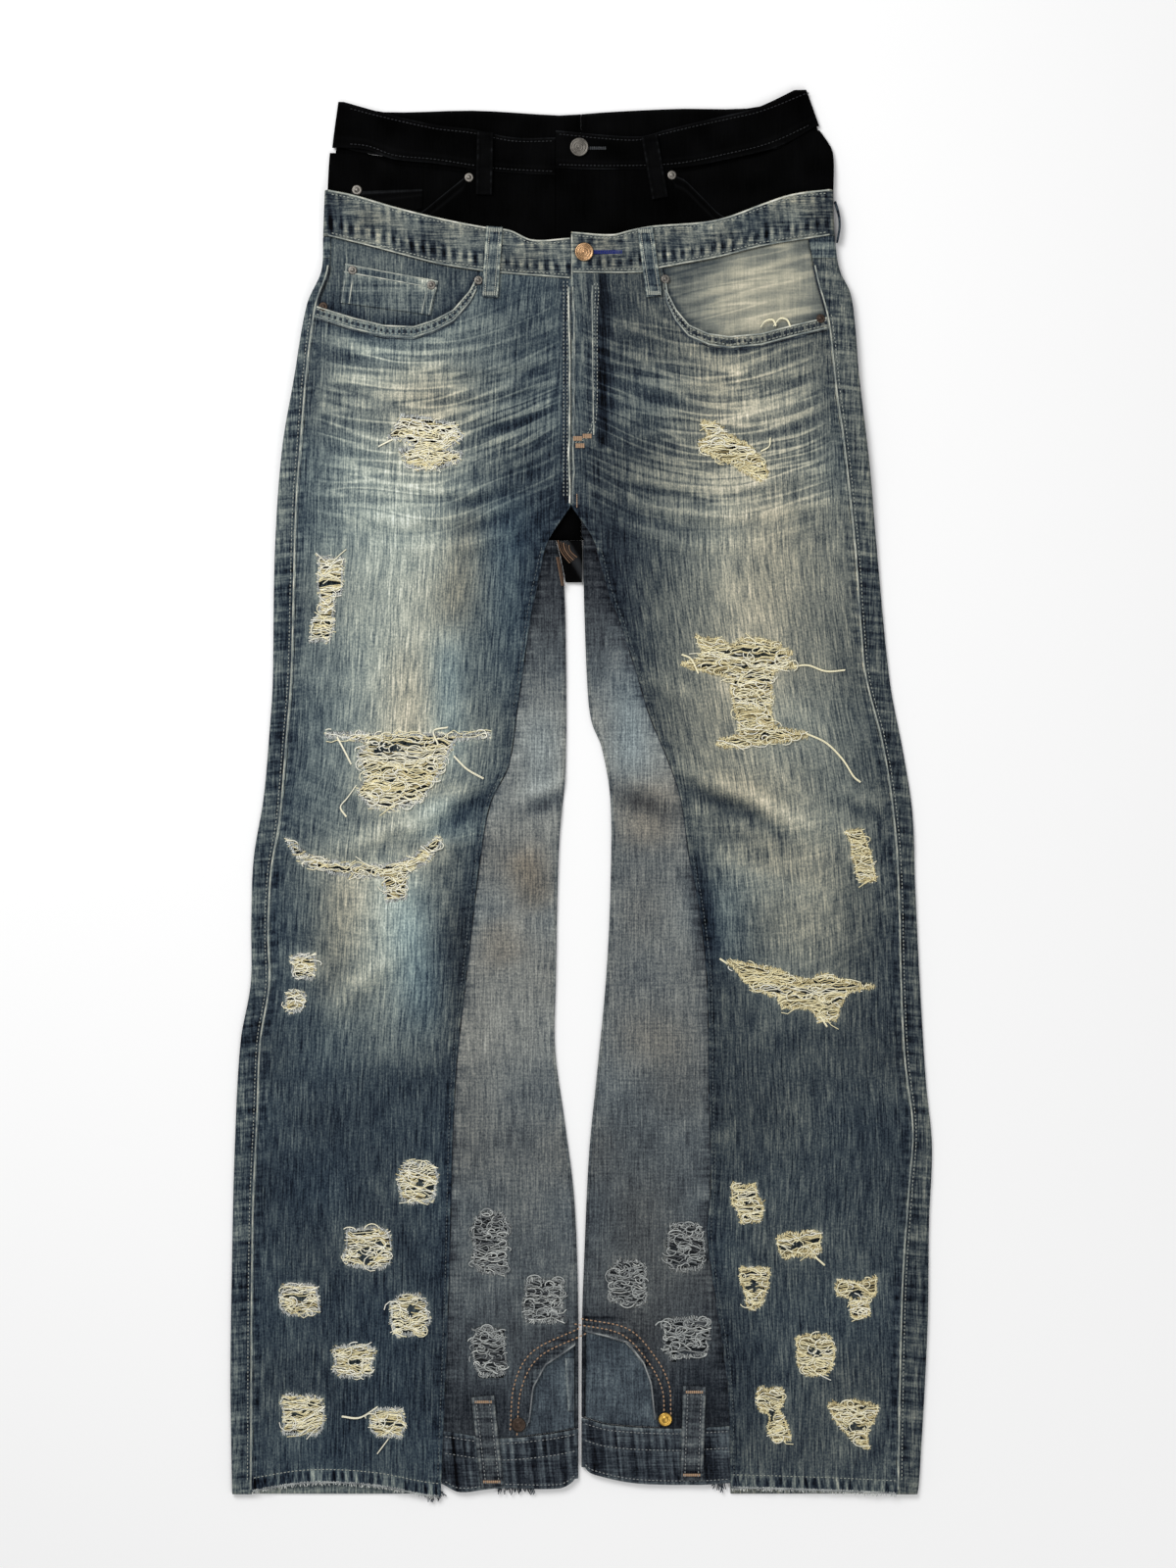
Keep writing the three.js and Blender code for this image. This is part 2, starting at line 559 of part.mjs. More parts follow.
function blueCoinPocket() {
  const corners = [[-197.6, 444], [-119.7, 429.2], [-202, 411], [-126, 400.5]];
  const grid = gridOf([0, 0.5, 1], [0, 1], (u, v) => {
    const x = THREE.MathUtils.lerp(
      THREE.MathUtils.lerp(corners[0][0], corners[1][0], u),
      THREE.MathUtils.lerp(corners[2][0], corners[3][0], u), v);
    const y = THREE.MathUtils.lerp(
      THREE.MathUtils.lerp(corners[0][1], corners[1][1], u),
      THREE.MathUtils.lerp(corners[2][1], corners[3][1], u), v);
    return [x, y, HIP_COIN_HEIGHT];
  });
  add('coin_pocket', wall(grid, LIGHT_CLOTH), 'blue');
}

function flyFacing() {
  const rightEdge = line([[436, 22], [330, 20], [298, 4]]);
  const grid = gridOf([0, 0.5, 1], [435, 380, 330, 298], (u, y) => (
    [THREE.MathUtils.lerp(CENTRE_SEAM_X + 1, rightEdge(y), u), y, FLY_FACING_HEIGHT]
  ));
  add('fly_facing', wall(grid, LIGHT_CLOTH), 'blue');
}

// ---- Inner leg panels, upside down ----
function insertLow(side, x) {
  const inPocket = side.away < 0 ? x > side.insertMouthEndX : x < side.insertMouthEndX;
  return inPocket ? side.insertMouth(x) : side.insertBandTop(x) + SEAM_GAP;
}

function insertLevelY(level, low) {
  if (level === 'low') return low;
  if (level === -495) return THREE.MathUtils.lerp(-450, low, 45 / 85);
  return level;
}

const INSERT_LEVELS = [...LEG_LEVELS, -495, 'low'];

function insertFront(key) {
  const side = SIDES[key];
  const columns = key === 'r' ? [0, 0.35, 0.62, 0.65, 0.78, 1] : [0, 0.35, 0.48, 0.52, 0.68, 1];
  const xAt = (u, y) => {
    const seam = side.insertSeam(y) - side.away * SEAM_GAP / 2;
    const free = side.inner(y) + side.away * (INNER_FOLD + DENIM / 2 + 2 * SEAM_GAP);
    const safe = side.away * Math.min(side.away * free, side.away * seam - 1.2);
    return THREE.MathUtils.lerp(seam, safe, u);
  };
  const grid = gridOf(columns, INSERT_LEVELS, (u, level) => {
    const y = insertLevelY(level, insertLow(side, xAt(u, -520)));
    const x = xAt(u, y);
    return [x, y, upperHeight(side, x, y)];
  });
  add(`insert_front_${key}`, wall(grid, DENIM), 'insert');
}

function insertBack(key) {
  const side = SIDES[key];
  const half = DENIM / 2;
  const stations = [
    (y) => [side.insertSeam(y) - side.away * SEAM_GAP / 2, y, half],
    (y) => [side.inner(y) + side.away * (half + INNER_FOLD), y, half],
    ...FOLD_TURNS.map((turn) => (y) => {
      const foot = side.inner(y) + side.away * (half + INNER_FOLD);
      const high = upperHeight(side, foot, y);
      const [x, z] = roundFold(side.inner(y) + side.away * half, INNER_FOLD, -side.away, half, high, turn);
      return [x, y, z];
    }),
  ];
  const low = side.insertBandTop(side.inner(-530)) + SEAM_GAP;
  const grid = stations.map((station, i) => INSERT_LEVELS.map((level) => {
    const end = i === 0 ? side.insertBandTop(side.insertSeam(-535)) + SEAM_GAP : low;
    const y = insertLevelY(level, end);
    const point = station(y);
    return new THREE.Vector3(...point);
  }));
  add(`insert_back_${key}`, wall(grid, DENIM), 'insert');
}

function insertWaistband(key) {
  const side = SIDES[key];
  const seamAt = (y) => side.insertSeam(Math.min(y, -500)) - side.away * SEAM_GAP;
  band(`insert_waistband_${key}`, 'insert', {
    away: -side.away,
    frontAt: seamAt,
    backAt: seamAt,
    edge: side.inner,
    reach: INNER_FOLD,
    top: side.insertBandTop,
    low: side.insertBandLow,
    backTop: side.insertBandTop,
    backLow: side.insertBandLow,
    under: BLACK_BAND / 2,
    high: INSERT_BAND_HEIGHT,
    thickness: BLACK_BAND,
    lift: () => 0,
  });
}

function insertFacing(key) {
  const side = SIDES[key];
  const deep = side.insertMouthEndX + side.away * 8;
  const grid = gridOf([0, 0.25, 0.5, 0.75, 1], [0, 0.5, 1], (u, v) => {
    const edgeAt = (y) => side.inner(y) + side.away * (INNER_FOLD + DENIM + SEAM_GAP);
    const guess = THREE.MathUtils.lerp(edgeAt(-500), deep, u);
    const y = THREE.MathUtils.lerp(side.insertBandTop(guess) + 2.4, side.insertMouth(guess) + 8, v);
    return [THREE.MathUtils.lerp(edgeAt(y), deep, u), y, INSERT_FACING_HEIGHT];
  });
  add(`insert_pocket_facing_${key}`, wall(grid, LIGHT_CLOTH), 'insert');
}

function insertCoinPocket() {
  const grid = gridOf([0, 1], [0, 0.5, 1], (u, v) => {
    const y = THREE.MathUtils.lerp(-474, -518, v);
    return [THREE.MathUtils.lerp(-13.5 + 2.5 * v, SIDES.r.inner(y) - 3.4, u), y, INSERT_COIN_HEIGHT];
  });
  add('insert_coin_pocket', wall(grid, LIGHT_CLOTH), 'insert');
}

// ---- Belt loops ----
// A strap from one end to the other over the layers under it.
function beltLoop(name, finish, from, to, width, height) {
  const direction = new THREE.Vector2(to[0] - from[0], to[1] - from[1]).normalize();
  const grid = gridOf([-width / 2, 0, width / 2], [0, 0.12, 0.5, 0.88, 1], (across, t) => {
    const bow = 0.5 * Math.sin(Math.PI * t);
    const x = THREE.MathUtils.lerp(from[0], to[0], t) - direction.y * across;
    const y = THREE.MathUtils.lerp(from[1], to[1], t) + direction.x * across;
    return [x, y, height(y) + bow];
  });
  add(name, wall(grid, LOOP_STRAP), finish);
}

function beltLoops() {
  const overBand = BAND_HEIGHT + BAND / 2 + SEAM_GAP + LOOP_STRAP / 2;
  beltLoop('belt_loop_r', 'blue', [-72.6, 474], [-76.4, 415.5], 13.5, () => overBand);
  beltLoop('belt_loop_l', 'blue', [53.5, 473], [61, 416], 13, () => overBand);
  const overBlack = (y) => BLACK_FRONT_HEIGHT + 1.6 + LOOP_STRAP / 2 + blackLift(y);
  beltLoop('black_belt_loop_r', 'black', [-80.5, 554], [-81.5, 501.5], 13.5, overBlack);
  beltLoop('black_belt_loop_l', 'black', [57, 551], [66, 498.5], 13.5, overBlack);
  const overInsert = INSERT_BAND_HEIGHT + BLACK_BAND / 2 + SEAM_GAP + LOOP_STRAP / 2;
  beltLoop('insert_belt_loop_r', 'insert', [-82.5, -505.5], [-74.5, -581.5], 19, () => overInsert);
  beltLoop('insert_belt_loop_l', 'insert', [95, -497], [92.5, -576], 19, () => overInsert);
}

// The loop at the wearer's left side stands out from the fold of the waistband.
function sideLoop() {
  const grid = gridOf([2, 5, 8], [496, 488, 478, 469, 462], (z, y) => {
    const bow = 3.2 * Math.sin(Math.PI * (496 - y) / 34);
    return [SIDES.l.outer(y) + SEAM_GAP + LOOP_STRAP / 2 + 0.3 + bow, y, z];
  });
  add('belt_loop_side_l', wall(grid, LOOP_STRAP), 'blue');
}

// ---- Buttons and rivets ----
function turned(profile, segments) {
  const points = profile.map(([r, z]) => new THREE.Vector2(r, z));
  const geometry = new THREE.LatheGeometry(points, segments);
  geometry.rotateX(Math.PI / 2);
  return geometry;
}

function button(name, finish, x, y, z) {
  const profile = [[0, 0], [3.2, 0], [3.2, 1.0], [7.2, 1.3], [7.6, 1.9], [7.2, 2.6], [6.2, 2.9], [5.6, 2.5],
    [2.2, 2.5], [1.4, 2.9], [0, 3.0]];
  add(name, turned(profile, 20), finish).position.set(x, y, z);
}

function rivet(name, finish, x, y, z, radius) {
  const profile = [[0, 0], [radius, 0], [radius, 0.5], [radius * 0.8, 1.0], [radius * 0.42, 1.1],
    [radius * 0.3, 1.3], [0, 1.4]];
  add(name, turned(profile, 14), finish).position.set(x, y, z);
}

function hardware() {
  const onBand = BAND_HEIGHT + BAND / 2 + SEAM_GAP;
  const onFront = HIP_FRONT_HEIGHT + DENIM / 2 + SEAM_GAP;
  const onCoin = HIP_COIN_HEIGHT + LIGHT_CLOTH / 2 + SEAM_GAP;
  button('waist_button', 'copper', 2.5, 453, onBand);
  rivet('rivet_mouth_in_r', 'steel', -86, 429.5, onFront, 3.7);
  rivet('rivet_mouth_out_r', 'darkMetal', -216, 407.5, onFront, 3.7);
  rivet('rivet_mouth_in_l', 'steel', 70.5, 430.5, onFront, 3.7);
  rivet('rivet_mouth_out_l', 'darkMetal', 200.5, 397.5, onFront, 3.7);
  rivet('rivet_coin_out', 'steel', -191.5, 438, onCoin, 3.7);
  rivet('rivet_coin_in', 'steel', -125.5, 425.5, onCoin, 3.7);
  const onBlack = (y, height, cloth) => height + cloth / 2 + SEAM_GAP + blackLift(y);
  button('black_waist_button', 'steel', -1.6, 541.6, onBlack(533, BLACK_BAND_HEIGHT, BLACK_BAND));
  rivet('black_rivet_mouth_r', 'steel', -94, 516, onBlack(512, BLACK_FRONT_HEIGHT, BLACK_DENIM), 3.8);
  rivet('black_rivet_mouth_l', 'steel', 76, 518, onBlack(512, BLACK_FRONT_HEIGHT, BLACK_DENIM), 3.8);
  rivet('black_rivet_coin', 'steel', -188, 505.5, onBlack(500, BLACK_COIN_HEIGHT, LIGHT_CLOTH), 4.2);
  const onInsert = 4.0 + DENIM / 2 + SEAM_GAP;
  rivet('insert_rivet_r', 'darkMetal', -52.5, -529.5, onInsert, 6.1);
  rivet('insert_rivet_l', 'brass', 70.5, -525, onInsert, 5.7);
}

for (const key of ['r', 'l']) {
  blueFront(key);
  blueBack(key);
  blueYoke(key);
  blueWaistband(key);
  blueFacing(key);
  blackFront(key);
  blackBack(key);
  blackWaistband(key);
  blackFacing(key);
  insertFront(key);
  insertBack(key);
  insertWaistband(key);
  insertFacing(key);
}
blueCoinPocket();
flyFacing();
blackCoinPocket();
blackSeat();
insertCoinPocket();
beltLoops();
sideLoop();
hardware();

export default garment;
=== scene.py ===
"""Ripped jeans sewn from three pairs, lying flat: fine cloth, thread and metal on the CAD frame.

Shapes are worked out in millimetres and written in metres. +Z is up from the surface they lie on,
+Y towards the waist, +X towards the wearer's left. Side 'r' is the wearer's right, 'l' the left.
"""
import math
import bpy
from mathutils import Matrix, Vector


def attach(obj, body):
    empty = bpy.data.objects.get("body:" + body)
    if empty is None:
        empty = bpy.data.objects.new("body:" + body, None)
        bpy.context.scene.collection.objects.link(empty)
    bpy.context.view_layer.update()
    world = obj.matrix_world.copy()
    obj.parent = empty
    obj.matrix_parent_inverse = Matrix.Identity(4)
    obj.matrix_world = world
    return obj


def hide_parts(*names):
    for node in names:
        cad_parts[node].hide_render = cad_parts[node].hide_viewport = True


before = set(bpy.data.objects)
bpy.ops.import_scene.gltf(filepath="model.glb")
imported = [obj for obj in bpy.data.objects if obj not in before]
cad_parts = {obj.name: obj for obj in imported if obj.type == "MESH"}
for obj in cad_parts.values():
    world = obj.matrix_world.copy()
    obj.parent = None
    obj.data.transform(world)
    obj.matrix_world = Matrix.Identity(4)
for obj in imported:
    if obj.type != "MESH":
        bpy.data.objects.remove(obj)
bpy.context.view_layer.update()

from types import SimpleNamespace

import bpy
import numpy as np
from bpy.props import FloatProperty, FloatVectorProperty, IntProperty, PointerProperty

bl_info = {
    "name": "Ripped Jeans",
    "version": (1, 0, 0),
    "blender": (4, 5, 0),
    "location": "View3D > Sidebar > Jeans",
    "description": "Builds ripped jeans sewn from three pairs, laid flat",
    "category": "Object",
}

MM = 0.001

# ---- Cloth, and the heights of the middle of each layer at the hips ----
DENIM = 1.4
BLACK_DENIM = 1.2
LIGHT_CLOTH = 0.9
BAND = 2.1
BLACK_BAND = 2.2
LOOP_STRAP = 1.6
SEAM_GAP = 0.3
SNAP_REACH = 1.2  # a rip's outline pulls in the places this near to it
HIP_FRONT_HEIGHT = 9.6
BAND_HEIGHT = 9.75
HIP_FACING_HEIGHT = 8.05
HIP_COIN_HEIGHT = 9.25
FLY_FACING_HEIGHT = 8.1
BLACK_BACK_HEIGHT = 0.6
BLACK_FACING_HEIGHT = 2.9
BLACK_COIN_HEIGHT = 4.1
BLACK_FRONT_HEIGHT = 4.3
BLACK_BAND_HEIGHT = 3.7
BLACK_LIFT = 2.4
INSERT_FACING_HEIGHT = 2.5
INSERT_COIN_HEIGHT = 3.75
INSERT_BAND_HEIGHT = 4.2

# ---- Landmarks along the garment ----
CENTRE_SEAM_X = -8.4
BLACK_FLAP_X = -21.5
CROTCH_Y = 241.0
INSERT_TOP_Y = 212.0
BLACK_FRONT_END_Y = 252.0
OUTER_FOLD = 3.0
INNER_FOLD = 1.8
YOKE_SIDE_Y = 448.0
YOKE_CENTRE_Y = 392.0
LEG_TOP_Y = 372  # even rows of the fronts run from here
LEG_LOW_Y = -562  # to here
BACK_LOW_Y = -588.0
INSERT_LOW_Y = -440  # even rows of the inner panels end here
FRONT_SHARE = 0.62  # of a leg's width at the hem that is the blue front


# ---- Numbers ----
def curve(rows):
    """Smooth curve through rows of (place, value)."""
    table = np.array(sorted(rows), float)
    place, value = table[:, 0], table[:, 1]
    order = np.arange(len(place))
    before, after = np.maximum(order - 1, 0), np.minimum(order + 1, len(place) - 1)
    slope = (value[after] - value[before]) / (place[after] - place[before])

    def at(p):
        p = np.clip(np.asarray(p, float), place[0], place[-1])
        i = np.clip(np.searchsorted(place, p, side="right") - 1, 0, len(place) - 2)
        span = place[i + 1] - place[i]
        t = (p - place[i]) / span
        first = (2 * t**3 - 3 * t**2 + 1) * value[i] + (t**3 - 2 * t**2 + t) * span * slope[i]
        return first + (3 * t**2 - 2 * t**3) * value[i + 1] + (t**3 - t**2) * span * slope[i + 1]

    return at


def line(rows):
    """Straight runs between rows of (place, value)."""
    table = np.array(sorted(rows), float)
    return lambda p: np.interp(p, table[:, 0], table[:, 1])


def even(first, last, count):
    return np.linspace(first, last, count)


def mix(a, b, t):
    return a + (b - a) * t


def ease(t):
    t = np.clip(t, 0, 1)
    return t * t * (3 - 2 * t)


def bump(distance, width):
    return np.exp(-((distance / width) ** 2))


def lattice(ix, iy, seed):
    """Repeatable value from 0 to 1 for each whole-numbered place."""
    n = (ix * 374761393 + iy * 668265263 + seed * 974711) & 0xFFFFFFFF
    n = ((n ^ (n >> 13)) * 1274126177) & 0xFFFFFFFF
    return ((n ^ (n >> 16)) & 0xFFFF) / 65535.0


def drift(x, y, size, seed):
    """Smooth variation from -1 to 1, in patches of the given size."""
    px, py = np.asarray(x, float) / size, np.asarray(y, float) / size
    px, py = np.broadcast_arrays(px, py)
    ix, iy = np.floor(px).astype(np.int64), np.floor(py).astype(np.int64)
    tx, ty = ease(px - ix), ease(py - iy)
    low = mix(lattice(ix, iy, seed), lattice(ix + 1, iy, seed), tx)
    high = mix(lattice(ix, iy + 1, seed), lattice(ix + 1, iy + 1, seed), tx)
    return 2 * mix(low, high, ty) - 1


def from_path(x, y, path):
    """Distance of each place from a path, and how far along it the nearest point is, 0 to 1."""
    best = np.full(np.shape(x), 1e9)
    along = np.zeros(np.shape(x))
    runs = len(path) - 1
    for i, ((ax, ay), (bx, by)) in enumerate(zip(path[:-1], path[1:])):
        dx, dy = bx - ax, by - ay
        t = np.clip(((x - ax) * dx + (y - ay) * dy) / (dx * dx + dy * dy), 0, 1)
        distance = np.hypot(x - ax - t * dx, y - ay - t * dy)
        nearer = distance < best
        best = np.where(nearer, distance, best)
        along = np.where(nearer, (i + t) / runs, along)
    return best, along


def sides_of(outline):
    """Pairs of neighbouring corners, all round a closed outline."""
    return zip(outline, outline[1:] + outline[:1])


def spread(outline):
    """Least and greatest x, and least and greatest y."""
    xs, ys = [p[0] for p in outline], [p[1] for p in outline]
    return min(xs), max(xs), min(ys), max(ys)


def around(x, y, outline, margin):
    """Whether each place is in the outline's box, widened by a margin."""
    left, right, low, high = spread(outline)
    return (x > left - margin) & (x < right + margin) & (y > low - margin) & (y < high + margin)


def inside(x, y, outline):
    """Whether each place is inside a closed outline."""
    result = np.zeros(np.shape(x), bool)
    for (ax, ay), (bx, by) in sides_of(outline):
        crosses = (ay > y) != (by > y)
        rise = by - ay if by != ay else 1e-9
        result ^= crosses & (x < (bx - ax) * (y - ay) / rise + ax)
    return result


COIN_CORNERS = [(-197.6, 444), (-119.7, 429.2), (-202, 411), (-126, 400.5)]

# Belt loops: their two ends, and their width.
BLUE_LOOPS = {"r": ((-72.6, 474), (-76.4, 415.5), 13.5), "l": ((53.5, 473), (61, 416), 13)}
BLACK_LOOPS = {"r": ((-80.5, 554), (-81.5, 501.5), 13.5), "l": ((57, 551), (66, 498.5), 13.5)}
INSERT_LOOPS = {"r": ((-82.5, -505.5), (-74.5, -581.5), 19), "l": ((95, -497), (92.5, -576), 19)}

# ---- Outlines: rows of (y, x) for edges along the leg, (x, y) for edges across ----
SIDES = {
  "r": SimpleNamespace(
    key="r", away=-1,
    outer=curve([(505, -215), (467, -216.5), (438, -218), (410, -230), (348, -241), (288, -251),
        (205, -257), (91, -259), (60, -261), (-3, -266.5), (-55, -275), (-108, -277), (-160, -277.5),
        (-209, -286), (-303, -291), (-419, -293.6), (-500, -294.4), (-590, -293)]),
    outseam=curve([(467, -211), (438, -212.5), (410, -222), (352, -230), (297, -234.5), (242, -238.6),
        (169, -241), (98, -243), (39, -247.6), (-24, -253), (-66, -260), (-118, -262.4), (-160, -261.5),
        (-209, -269), (-273, -271.8), (-361, -275.5), (-590, -277)]),
    insert_seam=curve([(CROTCH_Y, CENTRE_SEAM_X), (INSERT_TOP_Y, -27.5), (187, -34.5), (151, -42),
        (70, -54), (23, -61.5), (-7, -76), (-45, -83.6), (-139, -95), (-244, -106), (-419, -111.5),
        (-590, -118)]),
    inner=curve([(INSERT_TOP_Y, -21.5), (198, -18), (183, -15), (129, -13), (20, -13.2), (-33, -18),
        (-74, -19.7), (-156, -21.3), (-214, -22), (-275, -14), (-332, -6.6), (-384, -3.6), (-446, -2.4),
        (-590, -2.4)]),
    hem=curve([(0, -586), (0.18, -579), (0.4, -581), (0.62, -590.4), (1, -588)]),
    mouth_outer_y=408, corner=-87.2,
    waist_top=curve([(-214, 505.5), (-190, 500.6), (-157, 491), (-116, 481), (-80, 474), (-60, 471.5),
        (-41, 463.5), (-9, 465)]),
    waist_low=curve([(-213, 467), (-173, 457), (-123, 444), (-94, 439), (-71, 436), (-9, 431)]),
    mouth=line([(-222, 408), (-190, 398), (-165, 392), (-140, 391), (-123, 396.5), (-107, 405),
        (-93, 421), (-87.5, 432)]),
    black_edge=curve([(580, -204), (541, -209), (505, -211), (440, -212)]),
    black_top=curve([(-204, 580), (-170, 571), (-123, 560.5), (-93, 557), (-57, 550), (-21, 550)]),
    black_low=curve([(-209, 542), (-180, 540), (-157, 532), (-123, 528.5), (-73, 521), (-21, 518)]),
    black_back_top=curve([(-204, 580), (-170, 572), (-89, 573), (-18, 569), (0, 570)]),
    black_mouth=line([(-210, 455), (-165, 468), (-131, 489), (-113, 504), (-97, 517)]),
    black_mouth_x=-96.9,
    insert_band_top=curve([(-117, -535), (-71, -541), (-29, -538), (-2, -533)]),
    insert_band_low=curve([(-117, -579), (-102, -586), (-71, -583), (-19, -583), (-8, -578), (-2, -570)]),
    insert_mouth=line([(-44.5, -531), (-43.5, -526), (-40.4, -499), (-30, -480), (-14.8, -470),
        (-2, -461)]),
    insert_mouth_end=-44.5,
  ),
  "l": SimpleNamespace(
    key="l", away=1,
    outer=curve([(505, 211), (464, 213), (438, 217), (420, 225.5), (394, 229.6), (352, 233), (275, 242),
        (217, 247), (94, 259), (32, 270.6), (-17, 278), (-79, 280.4), (-155, 284), (-244, 289.5),
        (-296, 294.4), (-361, 292), (-449, 290.7), (-578, 283.7), (-590, 282)]),
    outseam=curve([(466, 191), (431, 198), (397, 207), (336, 214), (302, 219), (246, 225.5), (197, 230.4),
        (139, 234.5), (98, 238.6), (46, 251.7), (-4, 260.3), (-67, 265.7), (-155, 268), (-224, 271.4),
        (-282, 278), (-332, 274.7), (-419, 269), (-590, 265.5)]),
    insert_seam=curve([(CROTCH_Y, CENTRE_SEAM_X), (INSERT_TOP_Y, 10.5), (169, 23), (139, 34.4),
        (101, 46.7), (64, 58), (28, 73), (-4, 83.6), (-54, 91), (-91, 98.4), (-155, 105.8), (-244, 107.4),
        (-332, 109), (-367, 106), (-419, 112.3), (-493, 123), (-590, 125.5)]),
    inner=curve([(INSERT_TOP_Y, 1.8), (200, 1.6), (145, 2.9), (82, 5.7), (59, 9), (39, 17), (-4, 24.4),
        (-79, 24.6), (-155, 20.9), (-229, 13.9), (-303, 6.6), (-391, 2.5), (-449, 0.6), (-590, 0.2)]),
    hem=curve([(0, -588), (0.3, -585), (0.62, -583), (1, -583)]),
    mouth_outer_y=399, corner=70,
    waist_top=curve([(-8, 470), (26, 468), (43, 472), (60, 475), (104, 478.5), (124, 483), (151, 493),
        (177, 501.5), (211, 506)]),
    waist_low=curve([(-8, 436), (49, 436), (67, 440), (115, 449), (151, 458), (213, 468)]),
    mouth=line([(70, 434), (72, 420), (79.5, 405), (90, 392.5), (106.6, 385), (124, 382.5), (151, 385),
        (177, 392), (207, 399)]),
    black_edge=curve([(590, 189), (562, 199), (539, 207.5), (505, 208), (440, 207)]),
    black_top=curve([(-21, 556), (26, 551.5), (49, 551), (69, 556), (98, 563), (124, 568.7), (151, 575),
        (189, 590)]),
    black_low=curve([(-21, 524), (22, 523), (80, 525), (126, 534), (160, 543), (199, 561)]),
    black_back_top=curve([(0, 570), (26, 572), (80, 574.5), (151, 576), (189, 590)]),
    black_mouth=line([(77, 518), (87, 514), (98, 503), (115, 486), (150, 466), (206, 455)]),
    black_mouth_x=77.1,
    insert_band_top=curve([(0, -523.6), (23, -530), (75, -533), (125, -531)]),
    insert_band_low=curve([(0.4, -560), (5, -568), (13, -572), (44, -578.5), (97, -580), (125, -578.5)]),
    insert_mouth=line([(0, -451), (21.7, -456), (39, -461), (52.5, -478.5), (58.8, -496), (61.5, -522),
        (62.5, -530)]),
    insert_mouth_end=62.5,
  ),
}

# ---- Form of the upper layer ----
flat_height = line([(600, HIP_FRONT_HEIGHT), (300, HIP_FRONT_HEIGHT), (250, 8.6), (212, 5.8), (165, 4.2),
                    (120, 3.4), (-380, 3.4), (-440, 4.0), (-600, 4.0)])
loft = line([(320, 0), (220, 1.6), (0, 2.2), (-300, 1.6), (-440, 0)])

# Folds shared with the solids: path, half width, height.
FOLDS = [
  ([(-80, 14), (-130, -14), (-190, -38), (-250, -52)], 15, 5),
  ([(-100, -98), (-158, -130), (-212, -180), (-256, -204)], 17, 4.5),
  ([(46, 20), (76, 30), (120, 8), (170, -14), (225, -34), (258, -42)], 15, 6),
  ([(148, 44), (198, -8), (222, -20)], 12, 2),
  ([(40, 112), (100, 78), (130, 70)], 13, 3),
  ([(-215, 262), (-150, 248), (-60, 262)], 12, 1.6),
  ([(30, 262), (120, 248), (205, 262)], 12, 1.6),
  ([(-24, 236), (-60, 180), (-82, 130)], 14, 2.2),
  ([(10, 236), (44, 180), (72, 130)], 14, 2.2),
  ([(-66, -86), (-40, -72), (-24, -58)], 13, 1.6),
]

# Finer creases: path, half width, height, and how much lighter the worn ridge is; a negative value paints
# shade along a valley, and each crease paints shade in the trough beside it.
CREASES = [
  ([(95, -2), (140, -32), (178, -56)], 15, -0.5, -34),
  ([(-205, 372), (-150, 362), (-95, 356), (-40, 362), (-14, 368)], 5, 1.4, 14),
  ([(-218, 346), (-160, 338), (-100, 334), (-45, 342), (-16, 350)], 5, 1.5, 16),
  ([(-120, 322), (-70, 316), (-20, 326)], 4.5, 1.3, 14),
  ([(-95, 298), (-55, 297), (-20, 304)], 4.5, 1.5, 16),
  ([(-200, 262), (-150, 256), (-90, 252), (-40, 262), (-16, 276)], 5.5, 1.6, 20),
  ([(-215, 238), (-150, 228), (-90, 232), (-45, 246), (-20, 268)], 6, 1.8, 22),
  ([(-170, 206), (-110, 206), (-60, 222), (-26, 250)], 6, 1.5, 16),
  ([(26, 366), (75, 372), (130, 382), (185, 392)], 5, 1.5, 15),
  ([(28, 340), (80, 342), (140, 352), (200, 358)], 5, 1.5, 16),
  ([(30, 316), (80, 320), (130, 314), (180, 322), (220, 330)], 5, 1.4, 15),
  ([(24, 296), (70, 306), (110, 300)], 4.5, 1.3, 13),
  ([(20, 278), (60, 266), (110, 258), (165, 262), (210, 276)], 6, 1.8, 20),
  ([(12, 262), (50, 246), (110, 232), (170, 238), (215, 246)], 6, 1.8, 20),
  ([(10, 250), (40, 226), (90, 208), (150, 208)], 6, 1.5, 16),
  ([(-90, 5), (-140, -25), (-200, -45)], 7, 2.0, 30),
  ([(-157, -130), (-210, -185)], 8, 2.0, 24),
  ([(-76, -2), (-116, -25)], 8, -2.4, -34),
  ([(73, 28), (133, 1), (168, -17), (223, -34)], 7, 1.6, 12),
  ([(45, 106), (103, 76)], 8, 1.6, 16),
  ([(148, 33), (198, -12)], 7, 1.4, 18),
  ([(85, 4), (138, -12), (188, -49)], 7, -2.6, -40),
  ([(211, -1), (248, -22)], 6, -1.6, -24),
  ([(96, -56), (104, -110), (100, -150)], 11, -1.8, -30),
  ([(-48, -2), (-12, 13)], 7, 1.4, 22),
  ([(-52, -16), (-14, -4)], 7, -1.4, -28),
  ([(25, -1), (83, -22)], 9, -1.8, -36),
  ([(-225, 96), (-180, 92)], 6, 1.0, 8),
  ([(-255, -130), (-215, -150)], 7, 1.4, 12),
]


def creases(x, y):
    """Rise of the fine creases, and their change of lightness: worn ridges lighter, painted shade in the
    troughs beside them and along valleys.
    """
    rise = np.zeros(np.shape(x))
    light = np.zeros(np.shape(x))
    for path, width, height, tone in CREASES:
        distance, along = from_path(x, y + 3 * drift(x, y, 40, 11), path)
        fade = np.sin(np.pi * (0.08 + 0.84 * along))
        ridge = fade * bump(distance, width)
        trough = fade * bump(distance - 2.0 * width, width)
        rise += height * (ridge - 0.45 * trough)
        # the ridge is lighter from wear; the trough beside it, and a valley with a negative value, get
        # painted shade
        light += tone * (ridge - 0.5 * trough)
    return rise, light


def folds(x, y):
    rise = np.zeros(np.shape(x))
    for path, width, height in FOLDS:
        distance, along = from_path(x, y, path)
        rise += height * np.sin(np.pi * (0.12 + 0.76 * along)) * bump(distance, width)
    return rise


